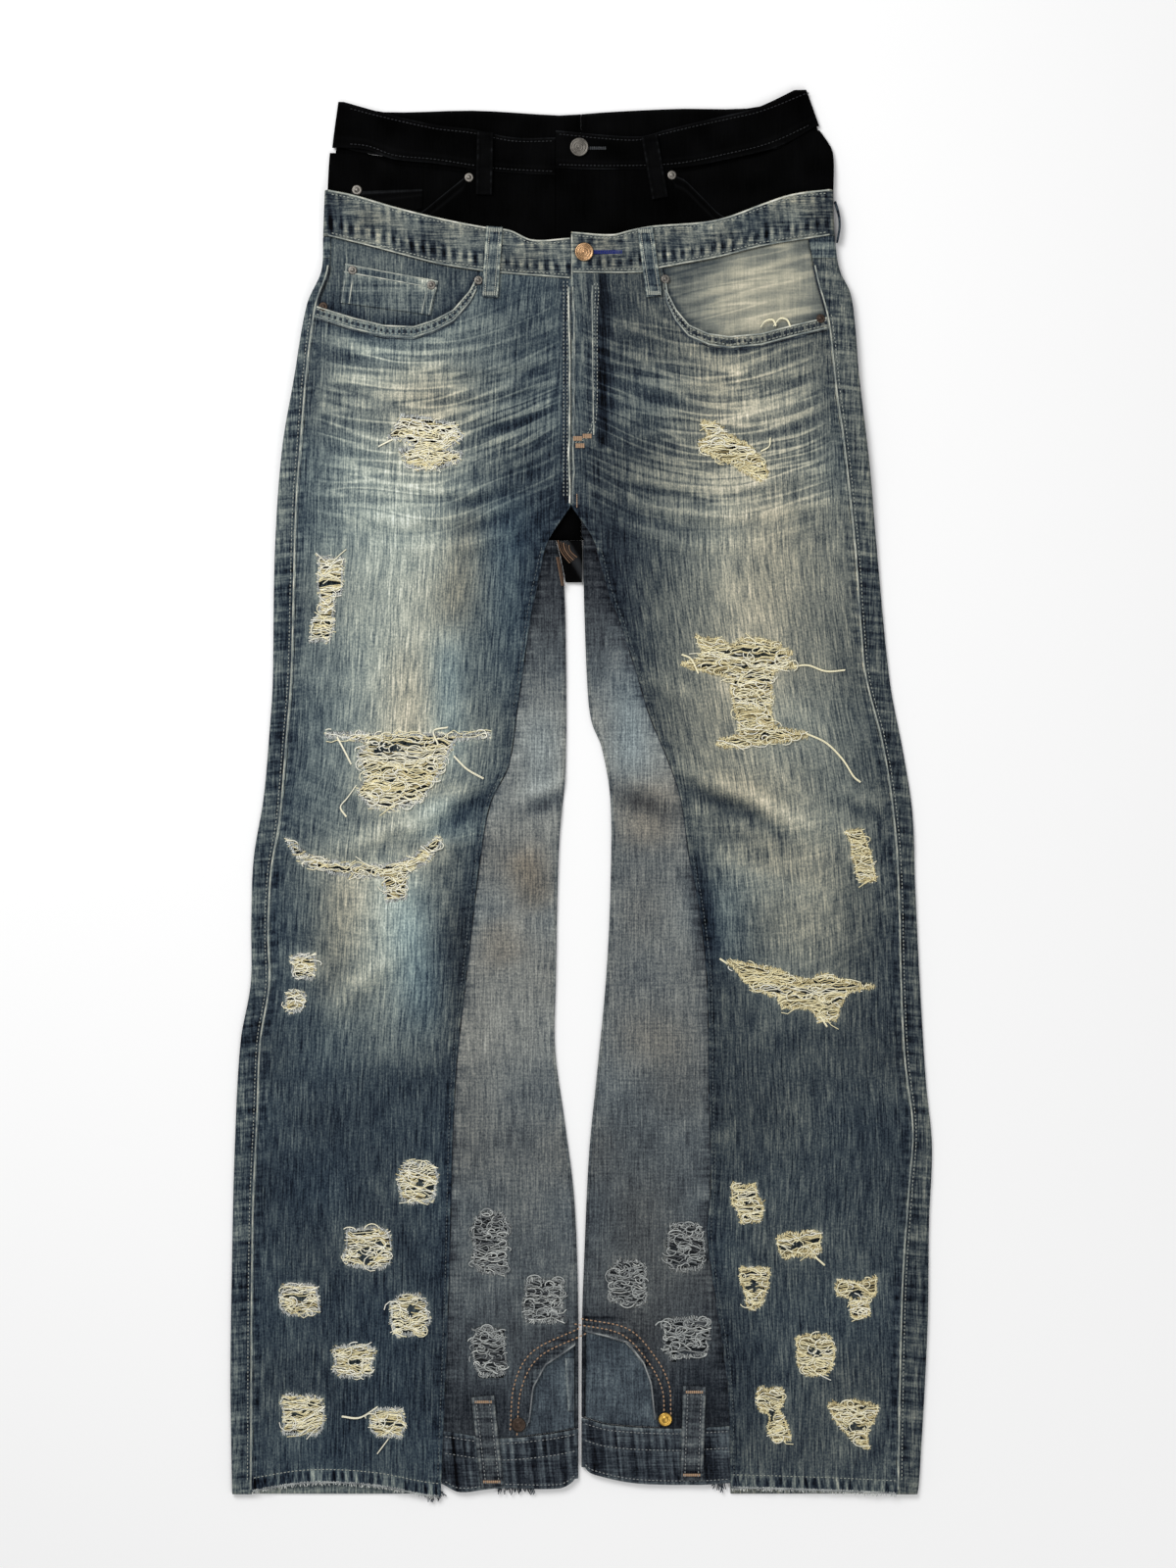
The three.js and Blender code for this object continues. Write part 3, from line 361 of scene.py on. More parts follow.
def inner_edge(side, y):
    y = np.asarray(y, float)
    return np.where(y >= CROTCH_Y, CENTRE_SEAM_X,
                    np.where(y >= INSERT_TOP_Y, side.insert_seam(y), side.inner(y)))


def upper_height(side, x, y, fine=True):
    """Height of the middle of the upper layer."""
    outer, inner = side.outer(y), inner_edge(side, y)
    across = np.clip((x - outer) / (inner - outer), 0, 1)
    height = flat_height(y) + loft(y) * 4 * across * (1 - across) + folds(x, y)
    if not fine:
        return height
    ripple = 0.45 * drift(x, y, 34, 3) + 0.22 * drift(x, y * 1.3, 15, 5)
    seam = np.abs(x - side.outseam(y))
    welt = np.where(y < 430, bump(seam, 14) * 0.55 * drift(x * 0.25, y, 6.5, 7), 0)
    return height + creases(x, y)[0] + ripple + welt


def black_lift(y):
    return BLACK_LIFT * (1 - ease((y - 512) / 33))


# ---- Lightness from 0 to 255, with painted shade from the creases ----
# Soft patches: middle x, y, reach across, reach along, lean in degrees, lightness.
BLUE_PATCHES = [
  (-135, 150, 55, 250, 0, 62),
  (-178, 150, 62, 250, 0, 40),
  (-172, -130, 50, 88, 4, 66),
  (-104, -110, 28, 70, 0, -20),
  (-150, 80, 26, 60, 0, 8),
  (-190, 424, 34, 40, 0, 14),
  (-40, 330, 24, 120, 0, -8),
  (128, 150, 58, 250, 0, 62),
  (188, 150, 60, 250, 0, 30),
  (192, -90, 38, 95, -4, 44),
  (101, -70, 28, 90, 0, -20),
  (30, 170, 24, 90, 0, -26),
  (-30, 180, 24, 70, 0, -14),
  (18, 360, 9, 80, 0, -30),
  (170, -300, 60, 120, 0, 8),
  (200, -500, 60, 90, 0, 8),
]


def patches(x, y, rows):
    total = np.zeros(np.shape(x))
    for px, py, rx, ry, lean, amount in rows:
        turn = math.radians(lean)
        dx, dy = x - px, y - py
        across = dx * math.cos(turn) + dy * math.sin(turn)
        along = -dx * math.sin(turn) + dy * math.cos(turn)
        total += amount * np.exp(-((across / rx) ** 2) - (along / ry) ** 4)
    return total


blue_base = line([(600, 86), (470, 84), (400, 78), (330, 72), (40, 72), (-100, 67), (-220, 63), (-560, 63)])
insert_base = line([(212, 40), (170, 54), (145, 66), (117, 84), (88, 104), (60, 130), (32, 138), (4, 120),
                    (-30, 118), (-70, 112), (-120, 122), (-220, 120), (-285, 100), (-420, 90), (-470, 70),
                    (-520, 56), (-600, 56)])


def blue_light(x, y):
    cloud = 9 * drift(x, y, 48, 21) + 6 * drift(x, y, 17, 22)
    return blue_base(y) + patches(x, y, BLUE_PATCHES) + creases(x, y)[1] + cloud


def insert_light(x, y):
    cloud = 7 * drift(x, y, 40, 31) + 5 * drift(x, y, 14, 32)
    return insert_base(y) - 14 * (x > 0) * ease((40 - y) / 60) + creases(x, y)[1] + cloud


def blue_warmth(x, y):
    """Tan (positive) or blue (negative) cast of the faded cloth."""
    warm = patches(x, y,
                   [(-135, 20, 36, 130, 0, 0.35), (-100, 190, 16, 50, -10, 0.5), (-60, 190, 20, 60, 0, -0.6),
                          (140, 100, 40, 120, 0, 0.12), (-130, 310, 40, 50, 0, 0.45),
                          (-205, -120, 22, 60, -8, 0.6),
                          (-140, -130, 24, 70, 8, -0.8), (-102, -150, 16, 60, 0, 0.5),
                          (-150, 75, 20, 50, 0, 0.3),
                          (-112, 75, 16, 60, 0, -0.7), (-120, -22, 32, 20, 0, -0.7),
                          (128, 2, 32, 16, -20, 0.15),
                          (165, -52, 44, 18, -15, 0.35), (120, -110, 26, 40, 0, -0.4)])
    left = ease((x + 15) / 30) * (0.42 - 0.2 * ease((-200 - y) / 150))
    return warm + left - 0.1 + 0.22 * drift(x, y, 55, 41)


def insert_warmth(x, y):
    """The same cast on the inner panels."""
    rows = [(-42, -72, 18, 26, 20, 0.8), (-68, -125, 20, 20, 20, 0.5), (55, -18, 26, 28, 0, 0.6),
            (40, 60, 20, 50, 0, -0.5), (-30, 30, 20, 40, 0, -0.3), (70, -230, 30, 40, 0, 0.3)]
    return patches(x, y, rows) + 0.02 + 0.25 * drift(x, y, 50, 42)


# ---- Rips: closed outlines ----
def box_rip(x0, y0, x1, y1, seed):
    """A ragged four-sided rip with its corners worn round."""
    points = []
    corners = [(x0, y0), (x1, y0), (x1, y1), (x0, y1)]
    cx, cy = (x0 + x1) / 2, (y0 + y1) / 2
    for i in range(4):
        (ax, ay), (bx, by) = corners[i], corners[(i + 1) % 4]
        for t in (0.0, 0.2, 0.4, 0.6, 0.8):
            px, py = mix(ax, bx, t), mix(ay, by, t)
            pull = 0.78 if t == 0.0 else 0.9
            px, py = cx + (px - cx) * pull, cy + (py - cy) * pull
            shift = 3.2 * drift(px, py, 4.5, seed), 2.2 * drift(px, py, 4.5, seed + 1)
            points.append((float(px + shift[0]), float(py + shift[1])))
    return points


def ragged(outline, reach, seed):
    """An outline broken into short uneven steps."""
    points = []
    for (ax, ay), (bx, by) in sides_of(outline):
        steps = max(1, int(math.hypot(bx - ax, by - ay) / 4.0))
        for i in range(steps):
            px, py = mix(ax, bx, i / steps), mix(ay, by, i / steps)
            shift = reach * drift(px, py, 4.1, seed), reach * drift(px, py, 4.1, seed + 1)
            points.append((float(px + shift[0]), float(py + shift[1])))
    return points


def frayed(x, y, outlines, width):
    """How near each place is to a rip's edge, 0 to 1."""
    near = np.full(np.broadcast(x, y).shape, 1e9)
    for outline in outlines:
        close = around(x, y, outline, 12)
        if close.any():
            found = from_path(x[close], y[close], outline + outline[:1])[0]
            near[close] = np.minimum(near[close], found)
    return bump(near, width)


BLUE_RIPS = {
  "r": [
    ragged([(-150, 317), (-126, 313), (-107, 309), (-104, 303), (-98, 298), (-107, 293), (-116, 288),
        (-101, 286), (-103, 278), (-113, 274), (-132, 271), (-147, 275), (-151, 287), (-138, 291),
        (-148, 296), (-161, 299), (-155, 306)], 1.6, 40),
    ragged([(-220, 197), (-200, 197), (-201, 168), (-207, 167), (-208, 146), (-210, 128), (-226, 128),
        (-225, 146), (-219, 150), (-218, 168), (-220, 170)], 1.5, 42),
    ragged([(-214, 50.5), (-170, 49.5), (-120, 49), (-77, 50.5), (-77, 47.4), (-106, 45), (-112, 34),
        (-116, 22), (-126, 6), (-134, -6), (-160, -14), (-176, -12), (-187, 0), (-180, 16), (-188, 32),
        (-178, 43), (-200, 47.2), (-214, 47.8)], 0.7, 44),
    ragged([(-247, -38), (-229, -52), (-197, -60), (-166, -61), (-140, -53), (-120, -36), (-117, -41),
        (-130, -58), (-146, -67), (-147, -88), (-163, -90), (-166, -70), (-200, -68), (-226, -62),
        (-240, -51)], 1.0, 46),
    box_rip(-243, -134, -223, -156, 51),
    box_rip(-246, -166, -233, -184, 52),
    box_rip(-154, -309, -121, -345, 53),
    box_rip(-199, -363, -158, -399, 54),
    box_rip(-253, -411, -218, -437, 55),
    box_rip(-160, -419, -128, -456, 56),
    box_rip(-208, -462, -173, -490, 57),
    box_rip(-252, -503, -216, -539, 58),
    box_rip(-176, -515, -147, -541, 59),
  ],
  "l": [
    ragged([(100, 311), (112, 309), (122, 300), (137, 293), (146, 284), (157, 268), (150, 262),
        (138, 268), (128, 276), (112, 282), (100, 288), (98, 294), (108, 298), (104, 304)], 1.5, 48),
    ragged([(97.5, 131), (117, 128), (125, 123), (134, 128), (150, 129), (167, 125), (165, 119),
        (177, 118), (171, 113), (181, 106), (167, 105), (160, 100), (160, 86), (158, 75), (161, 62),
        (161, 53), (187, 51.5), (190, 47.5), (171, 44.5), (156, 43), (134, 39), (113, 40.5), (117, 45.5),
        (134, 48.5), (132, 62), (128, 75), (125, 86), (128, 95), (117, 100), (105, 102), (84, 108.5),
        (102, 113), (102, 121)], 1.3, 62),
    ragged([(221, -33), (235, -31), (240, -45), (243, -53), (245, -65), (247, -72), (234, -74),
        (231, -65), (228, -53), (227, -42)], 1.0, 64),
    ragged([(123, -142), (134, -142), (154, -146), (167, -148), (175, -154), (192, -157), (202, -152),
        (218, -156), (233, -160), (246, -162), (233, -165), (223, -166), (221, -173), (216, -179),
        (214, -189), (200, -191), (194, -182), (183, -180), (167, -178), (165, -170), (144, -164),
        (134, -152)], 1.2, 66),
    ragged([(126, -328), (146, -329), (148, -340), (152, -347), (150, -358), (134, -359), (131, -348),
        (127, -342)], 1.6, 61),
    box_rip(165, -367, 201, -389, 63),
    ragged([(133, -398), (157, -399), (156, -414), (152, -422), (150, -431), (140, -432),
        (137, -418)], 1.6, 63),
    ragged([(214, -408), (232, -411), (247, -406), (246, -420), (240, -424), (242, -437), (226, -439),
        (227, -424), (215, -421)], 1.6, 65),
    box_rip(180, -453, 213, -488, 66),
    ragged([(147, -500), (168, -499), (169, -511), (164, -518), (172, -527), (176, -541), (163, -543),
        (156, -531), (158, -522), (148, -514)], 1.6, 67),
    ragged([(208, -513), (230, -510), (248, -514), (245, -527), (239, -536), (241, -549), (232, -546),
        (222, -536), (214, -527)], 1.8, 68),
  ],
}
INSERT_RIPS = {
  "r": [box_rip(-91, -350, -61, -404, 71), box_rip(-49, -406, -14, -445, 72),
          box_rip(-91, -447, -63, -490, 73)],
  "l": [box_rip(71, -360, 104, -401, 74), box_rip(23, -391, 57, -430, 75),
          box_rip(68, -438, 109, -474, 76)],
}


# Gaps worn through the torn weft: middle x, y and reach across and along.
GAPS = [
  (-180, -388, 8, 6), (-235, -425, 8, 4), (-143, -433, 5, 6), (-147, -451, 7, 2.5), (-191, -477, 8, 3.5),
  (-241, -521, 4, 3), (-227, -514, 5, 2.5), (-160, -529, 5, 3), (-136, -326, 6, 3.5), (-129, -337, 4, 2.5),
  (139, -343, 5, 4), (182, -379, 9, 4), (145, -414, 5, 6), (231, -422, 7, 5), (196, -470, 8, 5),
  (160, -520, 5, 7), (229, -531, 8, 5), (-160, 36, 16, 2.5), (-140, 12, 9, 2.5),
  (145, 108, 12, 2.5), (150, 76, 3, 5), (190, -168, 10, 2.5), (208, -179, 5, 2.5), (124, 288, 6, 2),
]

# Loose threads that hang from the rips: rows of (x, y).
STRAYS = {
  "r": [
    [(-205, 47), (-199, 36), (-193, 24)], [(-107, 31), (-96, 20), (-82, 12)],
    [(-189, 6), (-196, -4), (-202, -12), (-197, -20)], [(-120, 40), (-124, 52), (-112, 55)],
    [(-171, -515), (-186, -524), (-201, -523)],
    [(-162, -542), (-168, -550), (-171, -554)], [(-170, 290), (-158, 296)],
  ],
  "l": [
    [(178, 106), (190, 107), (205, 102), (221, 103)],
    [(188, 50), (205, 42), (219, 28), (228, 14), (234, 9)],
    [(150, 286), (157, 290), (158, 297)], [(98, 100), (92, 112), (84, 116)],
    [(122, -143), (116, -139)], [(200, -187), (206, -196)], [(196, -389), (204, -396)],
    [(150, 390), (154, 395), (160, 396), (163, 391)], [(161, 391), (166, 397), (172, 396), (175, 390)],
  ],
}


# ---- Settings ----
class ClothSettings(bpy.types.PropertyGroup):
    """Sizes of the cloth and of the thread on it."""

    cell: FloatProperty(name="Cell", description="Size of the cloth's faces", default=0.0028, unit="LENGTH")
    stitch_pitch: FloatProperty(name="Stitch pitch", description="From one stitch to the next",
                                default=0.0032, unit="LENGTH")
    stitch_width: FloatProperty(name="Stitch width", description="Thickness of the sewing thread",
                                default=0.0009, unit="LENGTH")
    torn_thread: FloatProperty(name="Torn thread", description="Thickness of the torn weft",
                               default=0.00105, unit="LENGTH")
    torn_gap: FloatProperty(name="Torn gap", description="From one torn weft thread to the next",
                            default=0.00095, unit="LENGTH")
    thread_sides: IntProperty(name="Thread sides", description="Sides of a torn thread", default=3)


def colour(name, description, value):
    return FloatVectorProperty(name=name, description=description, subtype="COLOR", size=3,
                               min=0.0, max=1.0, default=[v / 255 for v in value])


class ColourSettings(bpy.types.PropertyGroup):
    """Colours, as seen on a screen."""

    copper: colour("Copper", "The blue pair's button", (186, 150, 112))
    steel: colour("Steel", "Plain rivets and the black pair's button", (112, 108, 102))
    brass: colour("Brass", "Rivet of the left inner panel", (196, 156, 74))
    dark_metal: colour("Dark metal", "Tarnished rivets", (70, 58, 50))
    floor: colour("Floor", "The plain floor", (252, 252, 252))


class StageSettings(bpy.types.PropertyGroup):
    """The camera and the lights."""

    camera_height: FloatProperty(name="Camera height", description="Height of the camera",
                                 default=3.11, unit="LENGTH")
    lens: FloatProperty(name="Lens", description="Focal length in millimetres", default=85.0)
    key_power: FloatProperty(name="Key light", description="Power of the key light in watts", default=36.0)
    sky: FloatProperty(name="Sky", description="Strength of the even light", default=0.37)


def linear(rgb):
    """Scene colour of a screen colour, 0 to 255."""
    values = [v / 255 for v in rgb]
    return tuple(v / 12.92 if v <= 0.04045 else ((v + 0.055) / 1.055) ** 2.4 for v in values) + (1.0,)


# ---- Materials ----
class Wiring:
    """Adds nodes to a tree and joins them."""

    def __init__(self, tree):
        self.tree = tree

    def node(self, kind, inputs=None, **settings):
        made = self.tree.nodes.new(kind)
        for key, value in settings.items():
            setattr(made, key, value)
        for key, value in (inputs or {}).items():
            self.join(value, made.inputs[key])
        return made

    def join(self, value, socket):
        if isinstance(value, bpy.types.NodeSocket):
            self.tree.links.new(value, socket)
        else:
            socket.default_value = value

    def maths(self, operation, a, b=0.0, clamp=False):
        made = self.node("ShaderNodeMath", {0: a, 1: b, 2: 0.0}, operation=operation, use_clamp=clamp)
        return made.outputs[0]

    def add(self, a, b, clamp=False):
        return self.maths("ADD", a, b, clamp)

    def sub(self, a, b, clamp=False):
        return self.maths("SUBTRACT", a, b, clamp)

    def mul(self, a, b):
        return self.maths("MULTIPLY", a, b)

    def attribute(self, name):
        return self.node("ShaderNodeAttribute", attribute_name=name).outputs["Fac"]

    def noise(self, vector, detail=2.0, roughness=0.5):
        return self.node("ShaderNodeTexNoise", {"Vector": vector, "Scale": 1.0, "Detail": detail,
                                                "Roughness": roughness}).outputs["Fac"]

    def scaled(self, vector, size):
        made = self.node("ShaderNodeVectorMath", {0: vector, 1: size}, operation="MULTIPLY")
        return made.outputs[0]

    def swing(self, value, amount):
        """A texture from 0 to 1 as a change up and down."""
        return self.mul(self.sub(value, 0.5), amount)


def new_material(name):
    material = bpy.data.materials.new(name)
    material.use_nodes = True
    material.node_tree.nodes.clear()
    return material, Wiring(material.node_tree)


def finish_material(wiring, base, roughness, normal=None, metallic=0.0, sheen=0.0, specular=0.5):
    inputs = {"Base Color": base, "Roughness": roughness, "Metallic": metallic, "Sheen Weight": sheen,
              "Specular IOR Level": specular}
    if normal is not None:
        inputs["Normal"] = normal
    shader = wiring.node("ShaderNodeBsdfPrincipled", inputs)
    out = wiring.node("ShaderNodeOutputMaterial")
    wiring.join(shader.outputs[0], out.inputs["Surface"])


INDIGO = [(0.0, (3, 4, 7)), (0.13, (25, 32, 43)), (0.22, (46, 56, 67)), (0.31, (69, 79, 86)),
          (0.5, (122, 130, 129)), (0.67, (169, 173, 163)), (0.82, (212, 212, 198)), (1.0, (250, 249, 240))]
SLATE = [(0.0, (4, 4, 7)), (0.14, (32, 36, 43)), (0.24, (58, 62, 68)), (0.36, (86, 92, 97)),
         (0.53, (134, 137, 136)), (0.7, (178, 180, 176)), (1.0, (248, 248, 242))]
SOOT = [(0.0, (1, 1, 1)), (0.1, (10, 10, 11)), (0.3, (60, 62, 66)), (1.0, (220, 220, 218))]
CREAM = [(0.0, (60, 54, 40)), (0.3, (176, 160, 116)), (0.5, (232, 219, 172)), (0.7, (252, 244, 206)),
         (1.0, (255, 253, 240))]
TAN = [(0.0, (44, 32, 26)), (0.5, (146, 114, 88)), (1.0, (220, 190, 158))]
ROYAL = [(0.0, (8, 12, 44)), (0.5, (24, 38, 116)), (1.0, (92, 112, 190))]
ASH = [(0.0, (24, 26, 30)), (0.3, (98, 102, 106)), (0.6, (176, 180, 178)), (1.0, (246, 248, 242))]


def ramp(wiring, value, stops):
    node = wiring.node("ShaderNodeValToRGB", {"Fac": value})
    elements = node.color_ramp.elements
    for position, rgb in stops[1:-1]:
        elements.new(position).color = linear(rgb)
    elements[0].color = linear(stops[0][1])
    elements[-1].color = linear(stops[-1][1])
    return node.outputs["Color"]


def denim(name, stops, slub, speck, rope_swing, cross=0.3, gloss=0.06):
    """Worn denim: streaks along the warp, weaker ones across, whiskers with a painted shade line beside each,
    and puckered seams.
    """
    material, w = new_material(name)
    grain = w.node("ShaderNodeUVMap", uv_map="grain").outputs["UV"]
    fade, warm, rope = w.attribute("fade"), w.attribute("warm"), w.attribute("rope")
    streak = w.noise(w.scaled(grain, (0.42, 0.013, 1.0)), 4.0, 0.68)
    thread = w.noise(w.scaled(grain, (0.8, 0.05, 1.0)), 2.0, 0.6)
    weft = w.noise(w.scaled(grain, (0.05, 0.55, 1.0)), 2.0, 0.55)
    grit = w.noise(w.scaled(grain, (0.62, 0.5, 1.0)), 2.0, 0.65)
    cloud = w.noise(w.scaled(grain, (0.045, 0.03, 1.0)), 3.0, 0.5)
    across = w.mul(w.node("ShaderNodeSeparateXYZ", {0: grain}).outputs[0], 0.008)
    down = w.mul(w.attribute("arc"), 0.082)
    bent = w.noise(w.node("ShaderNodeCombineXYZ", {0: across, 1: down, 2: 0.0}).outputs[0], 1.6, 0.5)
    lit = w.sub(1.0, w.maths("ABSOLUTE", w.swing(bent, 12.5)), clamp=True)
    # dim is a dark line just beside each pale whisker line: painted shade under the whisker's ridge
    dim = w.sub(bent, 0.055)
    dim = w.sub(1.0, w.maths("ABSOLUTE", w.swing(dim, 11.0)), clamp=True)
    ridge = w.sub(w.mul(lit, 0.34), w.mul(dim, 0.24))
    whisker_and_shade = w.add(w.swing(bent, 0.8), ridge)
    whisker_and_shade = w.mul(whisker_and_shade, w.attribute("crush"))
    along = w.mul(w.attribute("run"), 0.27)
    skew = w.mul(cloud, 0.9)
    pucker = w.noise(w.node("ShaderNodeCombineXYZ", {0: along, 1: skew, 2: 0.0}).outputs[0], 2.0, 0.6)
    depth = w.add(0.45, w.mul(fade, 1.0))
    texture = w.swing(streak, slub)
    for part in (w.swing(thread, slub * 1.45), w.swing(weft, slub * cross), w.swing(grit, speck),
                 w.swing(cloud, 0.16), whisker_and_shade):
        texture = w.add(texture, part)
    value = w.add(fade, w.mul(texture, depth))
    value = w.add(value, w.mul(w.swing(pucker, rope_swing), rope), clamp=True)
    dyed = ramp(w, value, stops)
    red = w.add(1.0, w.mul(warm, 0.15))
    green = w.sub(1.015, w.mul(warm, 0.055))
    blue = w.sub(0.985, w.mul(warm, 0.22))
    cast = w.node("ShaderNodeCombineColor", {0: red, 1: green, 2: blue}).outputs[0]
    tinted = w.node("ShaderNodeMix", {0: 1.0, 6: dyed, 7: cast}, data_type="RGBA", blend_type="MULTIPLY")
    twill = w.node("ShaderNodeTexWave", {"Vector": grain, "Scale": 0.55, "Distortion": 1.2, "Detail": 1.0},
                   bands_direction="DIAGONAL").outputs["Fac"]
    height = w.add(w.mul(thread, 0.6), w.mul(twill, 0.35))
    height = w.add(height, w.mul(grit, 0.6))
    height = w.add(height, w.mul(whisker_and_shade, 3.0))
    height = w.add(height, w.mul(w.mul(pucker, rope), 3.0))
    normal = w.node("ShaderNodeBump", {"Height": height, "Strength": 0.7, "Distance": 0.0006}).outputs[0]
    finish_material(w, tinted.outputs[2], 0.9, normal, specular=gloss)
    return material


def thread_material(name, stops):
    """Twisted thread whose lightness differs from one thread to the next."""
    material, w = new_material(name)
    place = w.node("ShaderNodeTexCoord").outputs["Object"]
    fleck = w.noise(w.scaled(place, (900.0, 900.0, 900.0)), 2.0, 0.6)
    value = w.add(w.attribute("shade"), w.swing(fleck, 0.35), clamp=True)
    normal = w.node("ShaderNodeBump", {"Height": fleck, "Strength": 0.4, "Distance": 0.0003}).outputs[0]
    finish_material(w, ramp(w, value, stops), 0.85, normal, sheen=0.1, specular=0.15)
    return material


def metal_material(name, rgb, roughness):
    """Worn metal with scratches and darker and lighter patches."""
    material, w = new_material(name)
    place = w.node("ShaderNodeTexCoord").outputs["Object"]
    cloud = w.noise(w.scaled(place, (420.0, 420.0, 420.0)), 4.0, 0.6)
    scratch = w.noise(w.scaled(place, (1600.0, 260.0, 900.0)), 2.0, 0.5)
    value = w.add(0.5, w.add(w.swing(cloud, 1.0), w.swing(scratch, 0.5)), clamp=True)
    tone = ramp(w, value,
                [(0.0, [v * 0.3 for v in rgb]), (0.55, rgb), (1.0, [min(255, v * 1.35) for v in rgb])])
    rough = w.add(roughness, w.swing(cloud, 0.3), clamp=True)
    normal = w.node("ShaderNodeBump", {"Height": scratch, "Strength": 0.25, "Distance": 0.0002}).outputs[0]
    finish_material(w, tone, rough, normal, metallic=0.85)
    return material


FINISHES = {}
DENIMS = {
    "blue_denim": (INDIGO, 0.58, 0.52, 1.1, 0.16),
    "bleached_denim": (INDIGO, 0.13, 0.14, 0.6, 1.3),
    "grey_blue_denim": (SLATE, 0.36, 0.5, 0.9, 0.6),
    "black_denim": (SOOT, 0.06, 0.05, 0.16, 0.3, 0.02),
}
THREADS = {"cream_thread": CREAM, "grey_thread": ASH, "blue_thread": INDIGO, "tan_thread": TAN,
           "black_thread": SOOT, "royal_thread": ROYAL}
METALS = {"copper_button": ("copper", 0.35), "steel_button": ("steel", 0.45), "steel_rivet": ("steel", 0.4),
          "dark_rivet": ("dark_metal", 0.5), "brass_rivet": ("brass", 0.35)}


def eights(value):
    return [v * 255 for v in value]


def materials():
    """Every finish, made once."""
    if not FINISHES:
        for name, values in DENIMS.items():
            FINISHES[name] = denim("worn_" + name, *values)
        for name, stops in THREADS.items():
            FINISHES[name] = thread_material("worn_" + name, stops)
        for name, (colour_name, roughness) in METALS.items():
            rgb = eights(getattr(bpy.context.scene.jeans_colours, colour_name))
            FINISHES[name] = metal_material("worn_" + name, rgb, roughness)
    return FINISHES


# ---- Cloth meshes ----
def shares(columns, rows):
    """Shares across and along a grid, from 0 to 1."""
    return even(0, 1, columns)[:, None], even(0, 1, rows)[None, :]


def fold_arc(turn, low, high):
    """How far a fold swells out, of its depth, and its height at a turn from 0, low, to 1, high."""
    angle = math.pi * (turn - 0.5)
    return 1 - math.cos(angle), (low + high) / 2 + (high - low) / 2 * math.sin(angle)


def rung_wave(place, pitch, sharp, wander):
    """Light and dark bars along a seam, from -1 to 1."""
    return np.tanh(sharp * np.sin(2 * np.pi * place / pitch + wander))


def cell_size():
    return bpy.context.scene.jeans_cloth.cell / MM


def snapped(x, y, outlines):
    """Moves the places nearest to each outline onto it, so that a rip's edge is clean."""
    x, y = x.copy(), y.copy()
    for outline in outlines:
        near = around(x, y, outline, 4)
        if not near.any():
            continue
        px, py = x[near], y[near]
        best = np.full(px.shape, 1e9)
        tx, ty = px.copy(), py.copy()
        for (ax, ay), (bx, by) in sides_of(outline):
            dx, dy = bx - ax, by - ay
            t = np.clip(((px - ax) * dx + (py - ay) * dy) / (dx * dx + dy * dy + 1e-9), 0, 1)
            qx, qy = ax + t * dx, ay + t * dy
            distance = np.hypot(px - qx, py - qy)
            nearer = distance < best
            best = np.where(nearer, distance, best)
            tx, ty = np.where(nearer, qx, tx), np.where(nearer, qy, ty)
        pull = best < SNAP_REACH
        x[near] = np.where(pull, tx, px)
        y[near] = np.where(pull, ty, py)
    return x, y


def object_of(name, mesh, material):
    mesh.materials.append(material)
    made = bpy.data.objects.new(name, mesh)
    bpy.context.scene.collection.objects.link(made)
    return made


def cloth(node, places, thickness, finish, light, warm=0.0, rope=0.0, run=None, crush=0.0, arc=None,
          grain=None, rips=()):
    """A thin shell of cloth on a grid of places, standing for its CAD node."""
    name = "cloth_" + node
    x, y, z = np.broadcast_arrays(*[np.asarray(p, float) for p in places])
    shape = x.shape
    u, v = grain if grain is not None else (x, y)
    columns, rows = shape
    index = np.arange(columns * rows).reshape(shape)
    quads = np.stack([index[:-1, :-1], index[1:, :-1], index[1:, 1:], index[:-1, 1:]], -1).reshape(-1, 4)
    keep = np.ones(len(quads), bool)
    if rips:
        x, y = snapped(x, y, rips)
        cx, cy = x.ravel()[quads].mean(1), y.ravel()[quads].mean(1)
        for outline in rips:
            keep &= ~inside(cx, cy, outline)
    quads = quads[keep]
    used = np.unique(quads)
    renumber = np.full(columns * rows, -1)
    renumber[used] = np.arange(len(used))
    quads = renumber[quads]
    co = np.stack([x.ravel(), y.ravel(), z.ravel()], -1)[used] * MM
    a, b, c = co[quads[:, 0]], co[quads[:, 1]], co[quads[:, 2]]
    if np.cross(b - a, c - a)[:, 2].sum() < 0:
        quads = quads[:, ::-1]
    mesh = bpy.data.meshes.new(name)
    mesh.from_pydata(co.tolist(), [], quads.tolist())
    mesh.polygons.foreach_set("use_smooth", np.ones(len(quads), bool))
    # the lightness, stored as fade, is mostly fading and wear, with painted shade and painted highlights in
    # places
    fields = {"fade": np.asarray(light, float) / 255, "warm": warm, "rope": rope, "crush": crush,
              "run": y if run is None else run, "arc": y if arc is None else arc}
    for key, values in fields.items():
        field = np.broadcast_to(np.asarray(values, float), shape).ravel()[used]
        mesh.attributes.new(key, "FLOAT", "POINT").data.foreach_set("value", field.astype(np.float32))
    layer = mesh.uv_layers.new(name="grain")
    corner = np.zeros(len(mesh.loops), np.int32)
    mesh.loops.foreach_get("vertex_index", corner)
    uv = np.stack([np.broadcast_to(u, shape).ravel()[used], np.broadcast_to(v, shape).ravel()[used]], -1)
    layer.data.foreach_set("uv", uv[corner].ravel().astype(np.float32))
    piece = object_of(name, mesh, materials()[finish])
    shell = piece.modifiers.new("Thickness", "SOLIDIFY")
    shell.thickness = thickness * MM
    shell.offset = 0.0
    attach(piece, "root")
    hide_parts(node)


# ---- Geometry Nodes: stitches and threads ----
def socket(tree, name, kind, default=None):
    made = tree.interface.new_socket(name=name, in_out="INPUT", socket_type=kind)
    if default is not None:
        made.default_value = default
    return made


